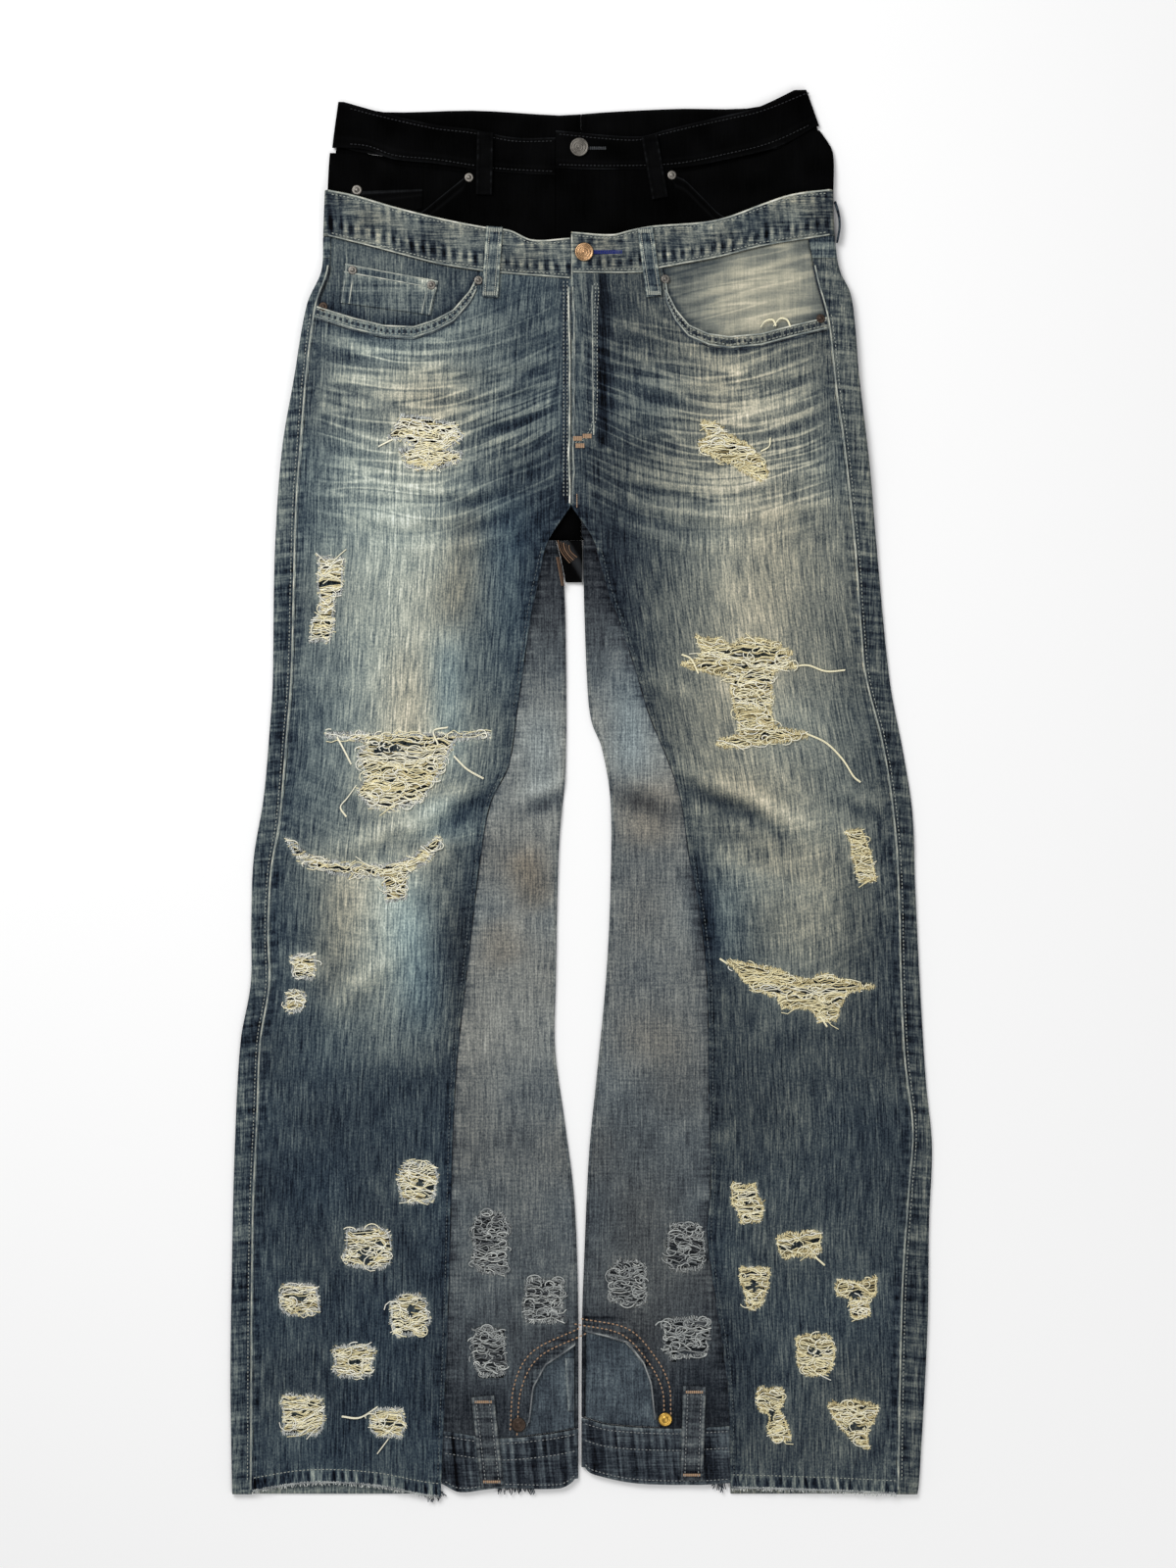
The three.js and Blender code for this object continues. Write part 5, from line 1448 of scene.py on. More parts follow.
def insert_coin_pocket():
    u, v = shares(8, 24)
    y = np.broadcast_to(mix(-474, -518, v), (8, 24))
    x = mix(-13.5 + 2.5 * v, SIDES["r"].inner(y) - 3.4, u)
    light = 84 + 50 * bump(u * 8, 1.3)
    cloth("insert_coin_pocket", (x, y, INSERT_COIN_HEIGHT + 0 * x), LIGHT_CLOTH, "grey_blue_denim", light,
          warm=-0.3)


# ---- Belt loops ----
def loop_strap(name, finish, start, end, width, height, light, rope):
    """A strap with raised edges, tacked down at both ends."""
    length = math.hypot(end[0] - start[0], end[1] - start[1])
    dx, dy = (end[0] - start[0]) / length, (end[1] - start[1]) / length
    t = even(0, 1, int(length / 1.6))[None, :]
    across = even(-0.5, 0.5, 13)[:, None]
    x = mix(start[0], end[0], t) - dy * across * width
    y = mix(start[1], end[1], t) + dx * across * width
    edge = bump(np.abs(across) - 0.42, 0.08)
    z = height(y) + 0.8 * np.sin(np.pi * t) ** 0.5 + 0.35 * edge + 0.2 * drift(x, y, 6, 121)
    groove = bump(np.abs(across) - 0.3, 0.05)
    rung = np.tanh(2.0 * np.sin(2 * np.pi * t * length / 6.5 + 2 * drift(x, y, 12, 123)))
    shade = light * (1 + 0.5 * edge - 0.42 * groove + 0.26 * drift(x, y, 7, 122) + 0.22 * rung * edge)
    shade = shade - 0.3 * light * (bump(t - 0.08, 0.03) + bump(t - 0.92, 0.03))
    cloth(name, (x, y, z), LOOP_STRAP, finish, shade,
          rope=rope, grain=(across * width + 0 * t, t * length + 0 * across))


def side_loop():
    side = SIDES["l"]
    z = even(2, 8, 9)[:, None]
    y = even(496, 462, 26)[None, :]
    bow = 3.2 * np.sin(np.pi * (496 - y) / 34)
    x = side.outer(y) + SEAM_GAP + LOOP_STRAP / 2 + 0.3 + bow
    cloth("belt_loop_side_l", (x + 0 * z, y + 0 * z, z + 0 * y), LOOP_STRAP, "blue_denim",
          60 + 0 * (z + y), rope=0.6,
          grain=(z + 0 * y, y + 0 * z))


# ---- Torn threads ----
def weft_runs(random, outline, gap, layer):
    """Weft threads across a rip, bunched together and loose."""
    left, right, low, high = spread(outline)
    probe = np.arange(left - 1, right + 1, 0.5)
    found = []
    for y in np.arange(low + 0.4, high - 0.2, gap):
        whole = inside(probe, np.full(probe.shape, y), outline)
        for gx, gy, rx, ry in GAPS:
            whole &= ((probe - gx) / rx) ** 2 + ((y - gy) / ry) ** 2 > 0.8 + 0.5 * drift(probe, y, 5.0, 23)
        held = probe[whole]
        if len(held) < 3 or random.random() < 0.18:
            continue
        for run in np.split(held, np.nonzero(np.diff(held) > 1)[0] + 1):
            start, end = run[0] - random.uniform(0.5, 2.6), run[-1] + random.uniform(0.5, 2.6)
            if layer and random.random() < 0.6:
                start, end = np.sort(random.uniform(start, end, 2))
            if end - start < 2.5:
                continue
            count = max(3, int((end - start) / 4.2))
            px = even(start, end, count)
            lean = random.normal(0, 0.34 if layer else 0.07) * min(1.0, 16 / (end - start))
            loose = np.cumsum(random.normal(0, 0.55, count)) * (1.7 if layer else 0.8)
            loose *= min(1.0, 5 / count ** 0.5)
            loose -= even(loose[0], loose[-1], count)
            bunch = 3.2 * drift(px, y, 9.0, 17 + layer) + 1.5 * drift(px, y, 4.2, 19 + layer)
            py = y + loose + bunch + lean * (px - px.mean())
            found.append((px, py, 0.5 + 1.0 * layer + random.normal(0, 0.3, count)))
    return found


def curls(random, outline, share):
    """Loose loops and arcs lying over a rip."""
    left, right, low, high = spread(outline)
    found = []
    for _ in range(int((right - left) * (high - low) * share)):
        cx, cy = random.uniform(left, right), random.uniform(low, high)
        if not inside(np.array([cx]), np.array([cy]), outline)[0]:
            continue
        radius, first, sweep = random.uniform(2, 7), random.uniform(0, 6.3), random.uniform(1.0, 4.2)
        angle = first + even(0, sweep, 7)
        lean = random.uniform(0.4, 1.0)
        px, py = cx + radius * np.cos(angle), cy + lean * radius * np.sin(angle)
        found.append((px, py, 1.7 + random.uniform(0, 1.3) + 0 * px))
    return found


def stubs(random, outline):
    """Short ends of thread along the edge of a rip."""
    found = []
    for (ax, ay), (bx, by) in sides_of(outline):
        for t in np.arange(0, 1, 0.62 / max(0.62, math.hypot(bx - ax, by - ay))):
            px, py = mix(ax, bx, t), mix(ay, by, t)
            angle, reach = random.normal(math.pi / 2, 0.5), random.uniform(1.4, 5.0)
            steps = even(-0.5, 0.5, 3)
            qx = px + reach * steps * math.cos(angle)
            qy = py + reach * steps * math.sin(angle) + random.normal(0, 0.3, 3)
            found.append((qx, qy, 1.0 + random.uniform(0, 0.5) + 0 * qx))
    return found


def laid_on(height, runs):
    """Paths (x, y, z) of runs (x, y, rise) lying on a height."""
    ends = np.cumsum([0] + [len(run[0]) for run in runs])
    x, y, rise = (np.concatenate([run[i] for run in runs]) for i in range(3))
    z = height(x, y) + rise
    return [np.stack([x[a:b], y[a:b], z[a:b]], -1) for a, b in zip(ends[:-1], ends[1:])]


def fringe(outlines, height, seed, bright):
    """Paths of the short frayed ends round each rip, and their lightness."""
    random = np.random.default_rng(seed)
    runs = []
    for outline in outlines:
        runs += stubs(random, outline)
    shades = [float(v) for v in np.clip(random.normal(bright, 0.16, len(runs)), 0.1, 1)]
    return laid_on(height, runs), shades


def tangle(outlines, height, seed, gap, bright, strays=(), loops=0.022):
    """Paths of the torn weft in each rip, and their lightness.

    Strays are loose threads, as rows of (x, y); loops is the number of curls per square millimetre.
    """
    random = np.random.default_rng(seed)
    runs, shades = [], []
    for outline in outlines:
        groups = [(weft_runs(random, outline, gap, 0), -0.08, 0.22),
                  (weft_runs(random, outline, gap * 1.15, 1), 0.06, 0.19),
                  (curls(random, outline, loops), 0.14, 0.1)]
        for group, shift, spread in groups:
            runs += group
            shades += [float(np.clip(random.normal(bright + shift, spread), 0.1, 1)) for _ in group]
    for stray in strays:
        t = even(0, 1, 4 * len(stray))
        px, py = through(stray, len(t))
        for offset in (0.0, 0.7):
            runs.append((px + offset * 0.6, py + offset, 1.4 + 0.6 * np.sin(np.pi * t)))
            shades.append(bright + 0.1)
    return laid_on(height, runs), shades


# ---- Stitching ----
# Beads of the buttonholes and of the tacks: half length, width and height.
HOLE_BEAD = (0.9, 0.5, 0.4)
TACK_BEAD = (0.9, 0.45, 0.4)


def on_upper(side, xs, ys, lift=0.95):
    """A path on top of the upper layer."""
    xs, ys = np.broadcast_arrays(np.asarray(xs, float), np.asarray(ys, float))
    return np.stack([xs, ys, upper_height(side, xs, ys) + lift], -1)


def at_height(xs, ys, z):
    xs, ys = np.broadcast_arrays(np.asarray(xs, float), np.asarray(ys, float))
    return np.stack([xs, ys, z + 0 * xs], -1)


def bar(x, y, width, height, z, rows=5):
    """Close zigzag of a bar tack, wide across and short along."""
    found = []
    for offset in even(-height / 2, height / 2, rows):
        found.append(at_height([x - width / 2, x + width / 2], [y + offset, y + offset], z))
    return found


def through(rows, count):
    """Places x and y along a smooth path through rows of (x, y)."""
    table = np.array(rows, float)
    place = even(0, 1, len(table))
    return [curve(list(zip(place, table[:, i])))(even(0, 1, count)) for i in (0, 1)]


def stitching(name, paths, pitch, size, finish, shade=0.6):
    inputs = {"Pitch": pitch * MM, "Size": tuple(v * MM for v in size)}
    along_paths(name, paths, stitch_tree(), inputs, finish, [shade] * len(paths))


# ---- Operators ----
class PieceOperator:
    bl_options = {"REGISTER", "UNDO"}

    def execute(self, context):
        self.build(context)
        return {"FINISHED"}


class JEANS_OT_blue_legs(PieceOperator, bpy.types.Operator):
    """Fronts, backs and yokes of the blue pair"""

    bl_idname = "jeans.blue_legs"
    bl_label = "Blue legs"

    def build(self, context):
        for key in "rl":
            blue_front(key)
            blue_back(key)
            blue_yoke(key)


class JEANS_OT_blue_waist(PieceOperator, bpy.types.Operator):
    """Waistband, pocket facings, coin pocket and fly facing of the blue pair"""

    bl_idname = "jeans.blue_waist"
    bl_label = "Blue waist"

    def build(self, context):
        for key in "rl":
            blue_waistband(key)
            blue_facing(key)
        blue_coin_pocket()
        fly_facing()


class JEANS_OT_black_pair(PieceOperator, bpy.types.Operator):
    """Panels of the black pair inside the blue waist"""

    bl_idname = "jeans.black_pair"
    bl_label = "Black pair"

    def build(self, context):
        for key in "rl":
            black_waistband(key)
            black_front(key)
            black_back(key)
            black_facing(key)
        black_coin_pocket()
        black_seat()


class JEANS_OT_inserts(PieceOperator, bpy.types.Operator):
    """Inner leg panels of the upturned grey-blue pair"""

    bl_idname = "jeans.inserts"
    bl_label = "Inner panels"

    def build(self, context):
        for key in "rl":
            insert_front(key)
            insert_back(key)
            insert_waistband(key)
            insert_facing(key)
        insert_coin_pocket()


class JEANS_OT_belt_loops(PieceOperator, bpy.types.Operator):
    """Every belt loop"""

    bl_idname = "jeans.belt_loops"
    bl_label = "Belt loops"

    def build(self, context):
        over_band = BAND_HEIGHT + BAND / 2 + SEAM_GAP + LOOP_STRAP / 2
        over_insert = INSERT_BAND_HEIGHT + BLACK_BAND / 2 + SEAM_GAP + LOOP_STRAP / 2
        over_black = lambda y: BLACK_FRONT_HEIGHT + 1.6 + LOOP_STRAP / 2 + black_lift(y)
        kinds = (("", "blue_denim", BLUE_LOOPS, lambda y: over_band, {"r": 96, "l": 92}, 0.6),
                 ("black_", "black_denim", BLACK_LOOPS, over_black, {"r": 19, "l": 19}, 0.3),
                 ("insert_", "grey_blue_denim", INSERT_LOOPS, lambda y: over_insert, {"r": 68, "l": 68}, 0.6))
        for prefix, finish, loops, height, light, rope in kinds:
            for key in "rl":
                loop_strap(f"{prefix}belt_loop_{key}", finish, *loops[key], height, light[key], rope)
        side_loop()


class JEANS_OT_rips(PieceOperator, bpy.types.Operator):
    """Torn weft in every rip"""

    bl_idname = "jeans.rips"
    bl_label = "Torn threads"

    def build(self, context):
        settings = context.scene.jeans_cloth
        inputs = {"Radius": settings.torn_thread / 2, "Sides": settings.thread_sides}
        gap = settings.torn_gap / MM
        thin = dict(inputs, Radius=settings.torn_thread * 0.32)
        random = np.random.default_rng(13)

        def threads(name, made, size, finish):
            along_paths(name, made[0], thread_tree(), size, finish, made[1])

        for key, side in SIDES.items():
            height = lambda x, y, side=side: upper_height(side, x, y)
            seed = 5 if key == "r" else 6
            bright = 0.75 if key == "r" else 0.66
            made = tangle(BLUE_RIPS[key], height, seed, gap, bright, STRAYS[key])
            threads(f"torn_blue_{key}", made, inputs, "cream_thread")
            made = tangle(INSERT_RIPS[key], height, seed + 2, gap * 1.5, 0.42, loops=0.05)
            threads(f"torn_insert_{key}", made, inputs, "grey_thread")
            made = fringe(BLUE_RIPS[key], height, seed + 4, 0.66 if key == "r" else 0.5)
            finish = "grey_thread" if key == "r" else "cream_thread"
            threads(f"fringe_blue_{key}", made, thin, finish)
            made = fringe(INSERT_RIPS[key], height, seed + 6, 0.5)
            threads(f"fringe_insert_{key}", made, thin, "grey_thread")
            hem, shades = [], []
            for share in even(0.005, 0.995, 230):
                if random.random() < 0.35 + 0.3 * drift(share * 40, 0, 1, 91):
                    continue
                x = mix(side.outseam(-585), side.insert_seam(-585), share)
                y = float(front_hem(side, share)) + np.array([1.8, 0.2, -random.uniform(0.4, 2.6)])
                hem.append(on_upper(side, x + random.normal(0, 0.5, 3), y, 0.9))
                shades.append(random.uniform(0.45, 0.95))
            threads(f"fringe_hem_{key}", (hem, shades), thin, "grey_thread")
        tufts, shades = [], []
        for key, first, last, y in (("l", 113, 121, -578), ("r", -133, -116, -586), ("r", -70, -40, -580)):
            for x in np.arange(first, last, 0.8):
                reach, lean = random.uniform(3, 9), random.normal(0, 2.2)
                xs = x + lean * np.array([0, 0.4, 1])
                tufts.append(at_height(xs, y - reach * np.array([0, 0.5, 1]), 2.2 + random.uniform(0, 1)))
                shades.append(random.uniform(0.08, 0.3))
        threads("torn_tufts", (tufts, shades), inputs, "blue_thread")


class JEANS_OT_stitching(PieceOperator, bpy.types.Operator):
    """Seam stitches, bar tacks and buttonholes"""

    bl_idname = "jeans.stitching"
    bl_label = "Stitching"

    def build(self, context):
        settings = context.scene.jeans_cloth
        pitch, width = settings.stitch_pitch / MM, settings.stitch_width / MM
        run = (pitch * 0.36, width * 0.5, width * 0.38)
        blue, dull, inner_rows, black, rungs = [], [], [], [], []
        over_band = BAND_HEIGHT + BAND / 2 + 0.6
        for key, side in SIDES.items():
            ys = even(400, -575, 260)
            blue.append(on_upper(side, side.outseam(ys) + side.away * 3.0, ys))
            ys = even(205, -572, 200)
            dull.append(on_upper(side, side.insert_seam(ys) + side.away * 3.0, ys, 1.2))
            across = even(0.02, 0.98, 60)
            hem_x = mix(side.outseam(-580), side.insert_seam(-580), across)
            blue.append(on_upper(side, hem_x, front_hem(side, across) + 11.5, 1.2))
            xs = even(abs(side.corner) + 1, abs(side.outseam(side.mouth_outer_y)) - 2, 60) * side.away
            blue.append(on_upper(side, xs, side.mouth(xs) - 2.6, 1.25))
            blue.append(on_upper(side, xs, side.mouth(xs) - 6.8, 1.25))
            rungs.append(on_upper(side, xs, side.mouth(xs) - 4.7, 1.0))
            xs = even(CENTRE_SEAM_X + side.away * 4, side.outer(485) - side.away * 8, 120)
            blue.append(at_height(xs, side.waist_top(xs) - 3.0, over_band))
            blue.append(at_height(xs, side.waist_low(xs) + 3.0, over_band))
            xs = even(BLACK_FLAP_X + side.away * 4, side.black_edge(545) - side.away * 16, 100)
            black.append(at_height(xs, side.black_top(xs) - 3.0, BLACK_BAND_HEIGHT + 1.7))
            lift = black_lift(side.black_low(xs))
            black.append(at_height(xs, side.black_low(xs) + 3.0, BLACK_BAND_HEIGHT + 1.9 + lift))
            far = side.inner(-540) + side.away * 4
            near = side.insert_seam(-540) - side.away * 3
            xs = even(far, near, 50)
            top_z = INSERT_BAND_HEIGHT + BLACK_BAND / 2 + 0.5
            for drop in (-4.0, -18.0):
                inner_rows.append(at_height(xs, side.insert_band_top(xs) + drop, top_z))
            inner_rows.append(at_height(xs, side.insert_band_low(xs) + 3.5, top_z))
        for offset in (0.0, 2.2):
            ys = even(428, 250, 90)
            blue.append(on_upper(SIDES["r"], CENTRE_SEAM_X - 3.2 - offset * 1.4, ys, 1.0))
        fly = curve([(428, 10.7), (420, 12.0), (400, 10.8), (360, 10.8), (325, 10.6), (308, 8.6), (298, 3.0),
                     (294, -4.0)])
        ys = even(426, 294, 70)
        for offset in (0.0, 2.6):
            blue.append(on_upper(SIDES["l"], fly(ys) + offset, ys, 1.0))
        stitching("stitches_blue", blue, pitch, run, "blue_thread", 0.62)
        stitching("stitches_dull", dull, pitch, run, "blue_thread", 0.36)
        stitching("stitches_black", black, pitch, run, "black_thread", 0.16)
        stitching("rungs_blue", rungs, 4.9, (1.2, 1.5, 0.4), "blue_thread", 0.16)
        hole = bar(21.7, 453, 24.0, 2.4, over_band, 4)
        stitching("buttonhole_blue", hole, 1.7, HOLE_BEAD, "royal_thread", 0.5)
        over_black = BLACK_BAND_HEIGHT + BLACK_BAND / 2 + 0.5 + float(black_lift(541))
        hole = bar(13.0, 541.0, 14.0, 1.6, over_black, 3)
        stitching("buttonhole_black", hole, 1.7, HOLE_BEAD, "black_thread", 0.28)
        tan = []
        rows = {
            "r": [(-59.5, -533), (-56, -495.5), (-40.5, -468), (-2.5, -449)],
            "l": [(1, -440.7), (39, -449), (61.5, -472), (73.5, -495.5), (75.2, -520)],
        }
        for key, table in rows.items():
            px, py = through(table, 60)
            for inward in (0.0, 5.6):
                shift = SIDES[key].away * inward
                tan.append(on_upper(SIDES[key], px - shift, py - inward * 0.8, 1.7))
        folds = []
        for i in range(5):
            t = even(0, 1, 8)
            fx, fy = mix(-19.5 + 2.3 * i, -9.5 + 1.5 * i, t), mix(212 - i, 193 + 1.2 * i, t)
            folds.append(at_height(fx - 2.2 * np.sin(np.pi * t), fy, 7.2))
        for offset in (0.0, 1.6):
            folds.append(at_height(mix(-20.6, -16.0, t) + offset, mix(198, 174, t), 6.4))
        fold_thread = {"Radius": 0.0005, "Sides": 5}
        along_paths("seat_folds", folds, thread_tree(), fold_thread, "tan_thread",
                    [0.24, 0.1, 0.36, 0.08, 0.26, 0.3, 0.16])
        gold = [on_upper(SIDES["l"], np.full(4, -3.6), even(250, 240, 4), 1.3)]
        for x, y in ((-3, 297), (5, 299), (-1, 291)):
            gold += bar(x, y, 6.0, 3.0, HIP_FRONT_HEIGHT + 1.8)
        stitching("stitches_tan", tan, pitch * 1.15, (pitch * 0.42, width * 0.75, width * 0.5), "tan_thread",
                  0.62)
        top_z = INSERT_BAND_HEIGHT + BLACK_BAND / 2 + SEAM_GAP + LOOP_STRAP + 0.5
        tacks = []
        for (ax, ay), (bx, by), _ in INSERT_LOOPS.values():
            for t in (0.06, 0.94):
                tacks += bar(mix(ax, bx, t), mix(ay, by, t), 13.0, 1.4, top_z, 3)
            for side_x in (-5.6, 5.6):
                inner_rows.append(at_height([ax + side_x, bx + side_x], [ay - 4, by + 4], top_z + 0.5))
        stitching("stitches_inner", inner_rows, pitch, run, "grey_thread", 0.42)
        stitching("tacks_tan", tacks + gold, 1.5, TACK_BEAD, "tan_thread", 0.7)
        loops = []
        loop_z = BAND_HEIGHT + BAND / 2 + SEAM_GAP + LOOP_STRAP + 0.5
        for (ax, ay), (bx, by), wide in BLUE_LOOPS.values():
            for t in (0.045, 0.955):
                loops += bar(mix(ax, bx, t), mix(ay, by, t), wide - 2.5, 2.4, loop_z, 4)
            for side_x in (-wide * 0.3, wide * 0.3):
                loops.append(at_height([ax + side_x, bx + side_x], [ay - 3, by + 3], loop_z + 0.5))
        stitching("tacks_blue", loops, 1.7, TACK_BEAD, "blue_thread", 0.66)


# Kinds of edge line: radius and finish. The dark kind is painted shadow beside raised seams and welts; the
# others are worn edges.
EDGES = {"wide": (0.75, "blue_thread"), "fine": (0.55, "blue_thread"), "dark": (0.5, "blue_thread"),
         "pale": (0.7, "grey_thread")}


class JEANS_OT_edges(PieceOperator, bpy.types.Operator):
    """Worn rolled edges along the seams and hems, and painted shadow lines beside them"""

    bl_idname = "jeans.edges"
    bl_label = "Worn edges"

    def build(self, context):
        paths, shades = {kind: [] for kind in EDGES}, {kind: [] for kind in EDGES}

        def tone(kind, path, bright, seed):
            """Adds a path of worn edge or painted shadow, whose lightness varies unevenly along it."""
            paths[kind].append(path)
            x, y = path[:, 0], path[:, 1]
            light = bright + 0.14 * drift(x, y, 8, seed) + 0.1 * drift(x, y, 3.1, seed + 1)
            shades[kind].append(np.clip(light, 0, 1))

        on_band = BAND_HEIGHT + BAND / 2
        for key, side in SIDES.items():
            ys = even(442, -584, 460)
            tone("wide", on_upper(side, side.outseam(ys) + side.away * 0.2, ys, 0.85), 0.62, 61)
            # the dark line inside the outseam's welt is painted shadow
            tone("dark", on_upper(side, side.outseam(ys) - side.away * 1.6, ys, 0.62), 0.16, 62)
            xs = even(abs(side.corner) + 0.5, abs(side.outseam(side.mouth_outer_y)) - 1,
                             90) * side.away
            for drop, bright in ((0.6, 0.66), (9.0, 0.56)):
                tone("wide", on_upper(side, xs, side.mouth(xs) - drop, 1.2), bright, 63)
            # the dark line below the pocket mouth is painted shadow under its welt
            tone("dark", on_upper(side, xs, side.mouth(xs) - 11.0, 0.75), 0.2, 64)
            xs = even(CENTRE_SEAM_X + side.away * 1.5, side.outer(485) - side.away * 4, 130)
            tone("wide", at_height(xs, side.waist_top(xs) - 0.6, on_band + 0.3), 0.72, 65)
            tone("fine", at_height(xs, side.waist_low(xs) + 0.6, on_band + 0.25), 0.64, 66)
            across = even(0.01, 0.99, 90)
            hem_x = mix(side.outseam(-585), side.insert_seam(-585), across)
            tone("pale", on_upper(side, hem_x, front_hem(side, across) + 0.7, 0.9), 0.44, 67)
            ys = even(204, -576, 330)
            # the dark line along the inner panel's seam is painted shadow under the front's lapped edge
            tone("dark", on_upper(side, side.insert_seam(ys) - side.away * 0.4, ys, 0.5), 0.14, 68)
            xs = even(abs(side.inner(-450)) + 3, abs(side.insert_mouth_end) - 0.5, 60) * side.away
            tone("pale", on_upper(side, xs, side.insert_mouth(xs) + 0.8, 1.4), 0.36, 69)
        ys = even(424, 243, 90)
        left = SIDES["l"]
        # the dark lines of the fly are painted shadow in the gaps between and beside its ridges
        for kind, x, sway, size, lift, bright, seed in (
                ("wide", -10.0, 0.7, 15, 1.1, 0.74, 71), ("wide", -6.4, 0.9, 10, 1.1, 0.5, 73),
                ("dark", -8.3, 0, 10, 1.0, 0.12, 74), ("dark", -12.4, 0, 10, 0.7, 0.14, 75)):
            tone(kind, on_upper(left, x + sway * drift(ys, 0 * ys, size, seed), ys, lift), bright, seed + 1)
        ys = even(425, 300, 60)
        tone("fine", on_upper(left, 9.8 + 0.9 * drift(ys, 0 * ys, 16, 77), ys, 1.2), 0.62, 78)
        ys = even(468, 434, 20)
        tone("fine", at_height(CENTRE_SEAM_X + 0.6 + 0 * ys, ys, on_band + 0.4), 0.66, 79)
        t = even(0, 1, 36)
        on_coin = HIP_COIN_HEIGHT + LIGHT_CLOTH / 2 + 0.35
        a, b, c, d = (np.array(corner) for corner in COIN_CORNERS)
        lines = [(mix(a, b, share), mix(c, d, share), 0.58, 80) for share in (0.02, 0.1, 0.9, 0.98)]
        lines += [(mix(a, c, drop), mix(b, d, drop), 0.66, 81) for drop in (0.03, 0.22)]
        for first, last, bright, seed in lines:
            xs, ys = mix(first[0], last[0], t), mix(first[1], last[1], t)
            tone("fine", at_height(xs, ys, on_coin), bright, seed)
        for kind, (radius, finish) in EDGES.items():
            inputs = {"Radius": radius * MM, "Sides": 5}
            along_paths("edges_" + kind, paths[kind], thread_tree(), inputs, finish,
                        shades[kind])


def lathe(node, profile, place, finish, turns):
    """A turned piece of metal standing at a place, for its CAD node."""
    name = "metal_" + node
    points = []
    for i in range(turns):
        angle = 2 * math.pi * i / turns
        for radius, height in profile:
            points.append((place[0] + radius * math.cos(angle), place[1] + radius * math.sin(angle),
                           place[2] + height))
    rows = len(profile)
    faces = []
    for i in range(turns):
        j = (i + 1) % turns
        for k in range(rows - 1):
            faces.append((i * rows + k, j * rows + k, j * rows + k + 1, i * rows + k + 1))
    faces.append(tuple((turns - 1 - i) * rows for i in range(turns)))
    faces.append(tuple(i * rows + rows - 1 for i in range(turns)))
    mesh = bpy.data.meshes.new(name)
    mesh.from_pydata([tuple(v * MM for v in p) for p in points], [], faces)
    mesh.polygons.foreach_set("use_smooth", np.ones(len(faces), bool))
    piece = object_of(name, mesh, materials()[finish])
    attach(piece, "root")
    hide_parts(node)


class JEANS_OT_hardware(PieceOperator, bpy.types.Operator):
    """Buttons and rivets"""

    bl_idname = "jeans.hardware"
    bl_label = "Buttons and rivets"

    def build(self, context):
        on_band = BAND_HEIGHT + BAND / 2 + SEAM_GAP
        on_front = HIP_FRONT_HEIGHT + DENIM / 2 + SEAM_GAP
        on_coin = HIP_COIN_HEIGHT + LIGHT_CLOTH / 2 + SEAM_GAP
        ring = [(3.0, 0), (3.0, 1.0), (7.4, 1.2), (7.8, 1.8), (7.5, 2.5), (6.7, 2.9), (6.2, 1.9), (5.6, 1.8),
                (5.1, 2.8), (4.5, 2.8), (4.1, 1.9), (3.3, 1.9), (2.9, 2.9), (2.3, 2.9), (1.9, 2.1),
                (1.3, 2.1),
                (0.9, 3.0), (0.3, 3.05)]
        lathe("waist_button", ring, (2.5, 453, on_band), "copper_button", 36)
        lift = float(black_lift(533))
        lathe("black_waist_button", ring, (-1.6, 541.6, BLACK_BAND_HEIGHT + BLACK_BAND / 2 + 0.3 + lift),
              "steel_button", 36)
        on_black = BLACK_FRONT_HEIGHT + BLACK_DENIM / 2 + 0.3 + float(black_lift(512))
        places = [
            ("rivet_mouth_in_r", "steel_rivet", -86, 429.5, on_front, 3.7),
            ("rivet_mouth_out_r", "dark_rivet", -216, 407.5, on_front, 3.7),
            ("rivet_mouth_in_l", "steel_rivet", 70.5, 430.5, on_front, 3.7),
            ("rivet_mouth_out_l", "dark_rivet", 200.5, 397.5, on_front, 3.7),
            ("rivet_coin_out", "steel_rivet", -191.5, 438, on_coin, 3.7),
            ("rivet_coin_in", "steel_rivet", -125.5, 425.5, on_coin, 3.7),
            ("black_rivet_mouth_r", "steel_rivet", -94, 516, on_black, 3.8),
            ("black_rivet_mouth_l", "steel_rivet", 76, 518, on_black, 3.8),
            ("black_rivet_coin", "steel_rivet", -188, 505.5, on_black, 4.2),
            ("insert_rivet_r", "dark_rivet", -52.5, -529.5, 5.6, 6.1),
            ("insert_rivet_l", "brass_rivet", 70.5, -525, 5.6, 5.7),
        ]
        for name, finish, x, y, z, radius in places:
            rim = [(radius * 0.9, 0), (radius, 0.2), (radius, 0.6), (radius * 0.86, 1.0),
                   (radius * 0.66, 0.8),
                   (radius * 0.5, 0.8), (radius * 0.42, 1.2), (radius * 0.3, 1.5), (radius * 0.1, 1.6)]
            lathe(name, rim, (x, y, z), finish, 24)


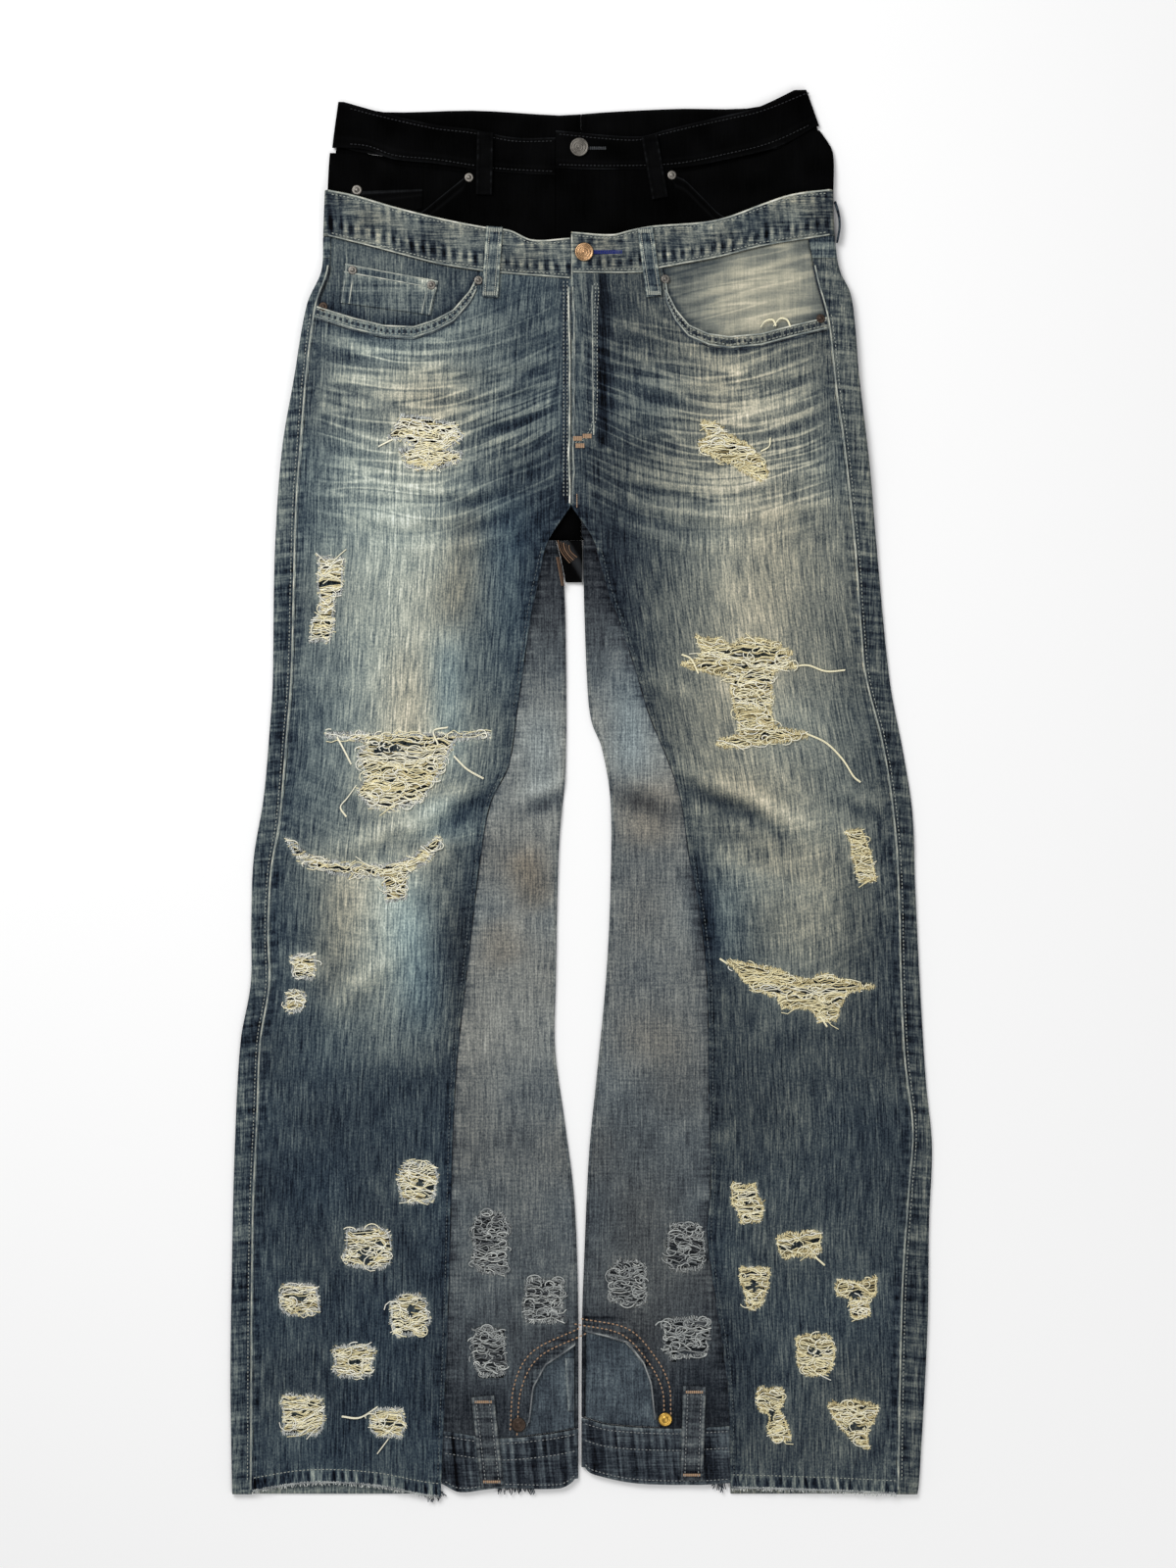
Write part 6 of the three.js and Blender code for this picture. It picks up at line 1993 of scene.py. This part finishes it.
class JEANS_OT_stage(PieceOperator, bpy.types.Operator):
    """Plain floor, soft light and the camera straight above"""

    bl_idname = "jeans.stage"
    bl_label = "Stage"

    def build(self, context):
        scene = context.scene
        settings, colours = scene.jeans_stage, scene.jeans_colours
        bpy.ops.mesh.primitive_plane_add(size=8.0, location=(0, 0, -0.0003))
        floor = context.object
        floor.name = "floor"
        material, w = new_material("floor_paint")
        place = w.node("ShaderNodeTexCoord").outputs["Object"]
        grain = w.noise(w.scaled(place, (40.0, 40.0, 40.0)), 2.0, 0.5)
        base = linear(eights(colours.floor))
        normal = w.node("ShaderNodeBump", {"Height": grain, "Strength": 0.05, "Distance": 0.0002}).outputs[0]
        finish_material(w, base, 0.9, normal, specular=0.0)
        floor.data.materials.append(material)
        world = bpy.data.worlds.new("Even light")
        scene.world = world
        world.use_nodes = True
        background = world.node_tree.nodes["Background"]
        background.inputs["Color"].default_value = (1, 1, 1, 1)
        background.inputs["Strength"].default_value = settings.sky
        for name, place, size, share in (("key", (-0.9, 1.2, 1.9), 1.2, 1.0),
                                         ("fill", (0.9, -1.3, 2.2), 1.8, 0.55)):
            data = bpy.data.lights.new(name, "AREA")
            data.size = size
            data.energy = settings.key_power * share
            light = bpy.data.objects.new(name, data)
            scene.collection.objects.link(light)
            light.location = place
            light.rotation_euler = (-Vector(place)).to_track_quat("-Z", "Y").to_euler()
        data = bpy.data.cameras.new("camera")
        camera = bpy.data.objects.new("camera", data)
        scene.collection.objects.link(camera)
        data.lens = settings.lens
        data.clip_end = 50.0
        camera.location = (0.0057, 0.0078, settings.camera_height)
        scene.camera = camera
        scene.view_settings.view_transform = "Standard"


OPERATORS = (
    JEANS_OT_blue_legs, JEANS_OT_blue_waist, JEANS_OT_black_pair, JEANS_OT_inserts, JEANS_OT_belt_loops,
    JEANS_OT_rips, JEANS_OT_stitching, JEANS_OT_edges, JEANS_OT_hardware, JEANS_OT_stage,
)


class JEANS_PT_build(bpy.types.Panel):
    """Builds the jeans piece by piece"""

    bl_idname = "JEANS_PT_build"
    bl_label = "Ripped Jeans"
    bl_space_type = "VIEW_3D"
    bl_region_type = "UI"
    bl_category = "Jeans"

    def draw(self, context):
        for settings in (context.scene.jeans_cloth, context.scene.jeans_colours, context.scene.jeans_stage):
            box = self.layout.box()
            for name in settings.__annotations__:
                box.prop(settings, name)
        for operator in OPERATORS:
            self.layout.operator(operator.bl_idname)


CLASSES = (ClothSettings, ColourSettings, StageSettings, *OPERATORS, JEANS_PT_build)


def register():
    for each in CLASSES:
        bpy.utils.register_class(each)
    bpy.types.Scene.jeans_cloth = PointerProperty(type=ClothSettings)
    bpy.types.Scene.jeans_colours = PointerProperty(type=ColourSettings)
    bpy.types.Scene.jeans_stage = PointerProperty(type=StageSettings)


def unregister():
    del bpy.types.Scene.jeans_stage
    del bpy.types.Scene.jeans_colours
    del bpy.types.Scene.jeans_cloth
    for each in reversed(CLASSES):
        bpy.utils.unregister_class(each)


def main():
    register()
    bpy.ops.jeans.blue_legs()
    bpy.ops.jeans.blue_waist()
    bpy.ops.jeans.black_pair()
    bpy.ops.jeans.inserts()
    bpy.ops.jeans.belt_loops()
    bpy.ops.jeans.rips()
    bpy.ops.jeans.stitching()
    bpy.ops.jeans.edges()
    bpy.ops.jeans.hardware()
    bpy.ops.jeans.stage()


if __name__ == "__main__":
    main()
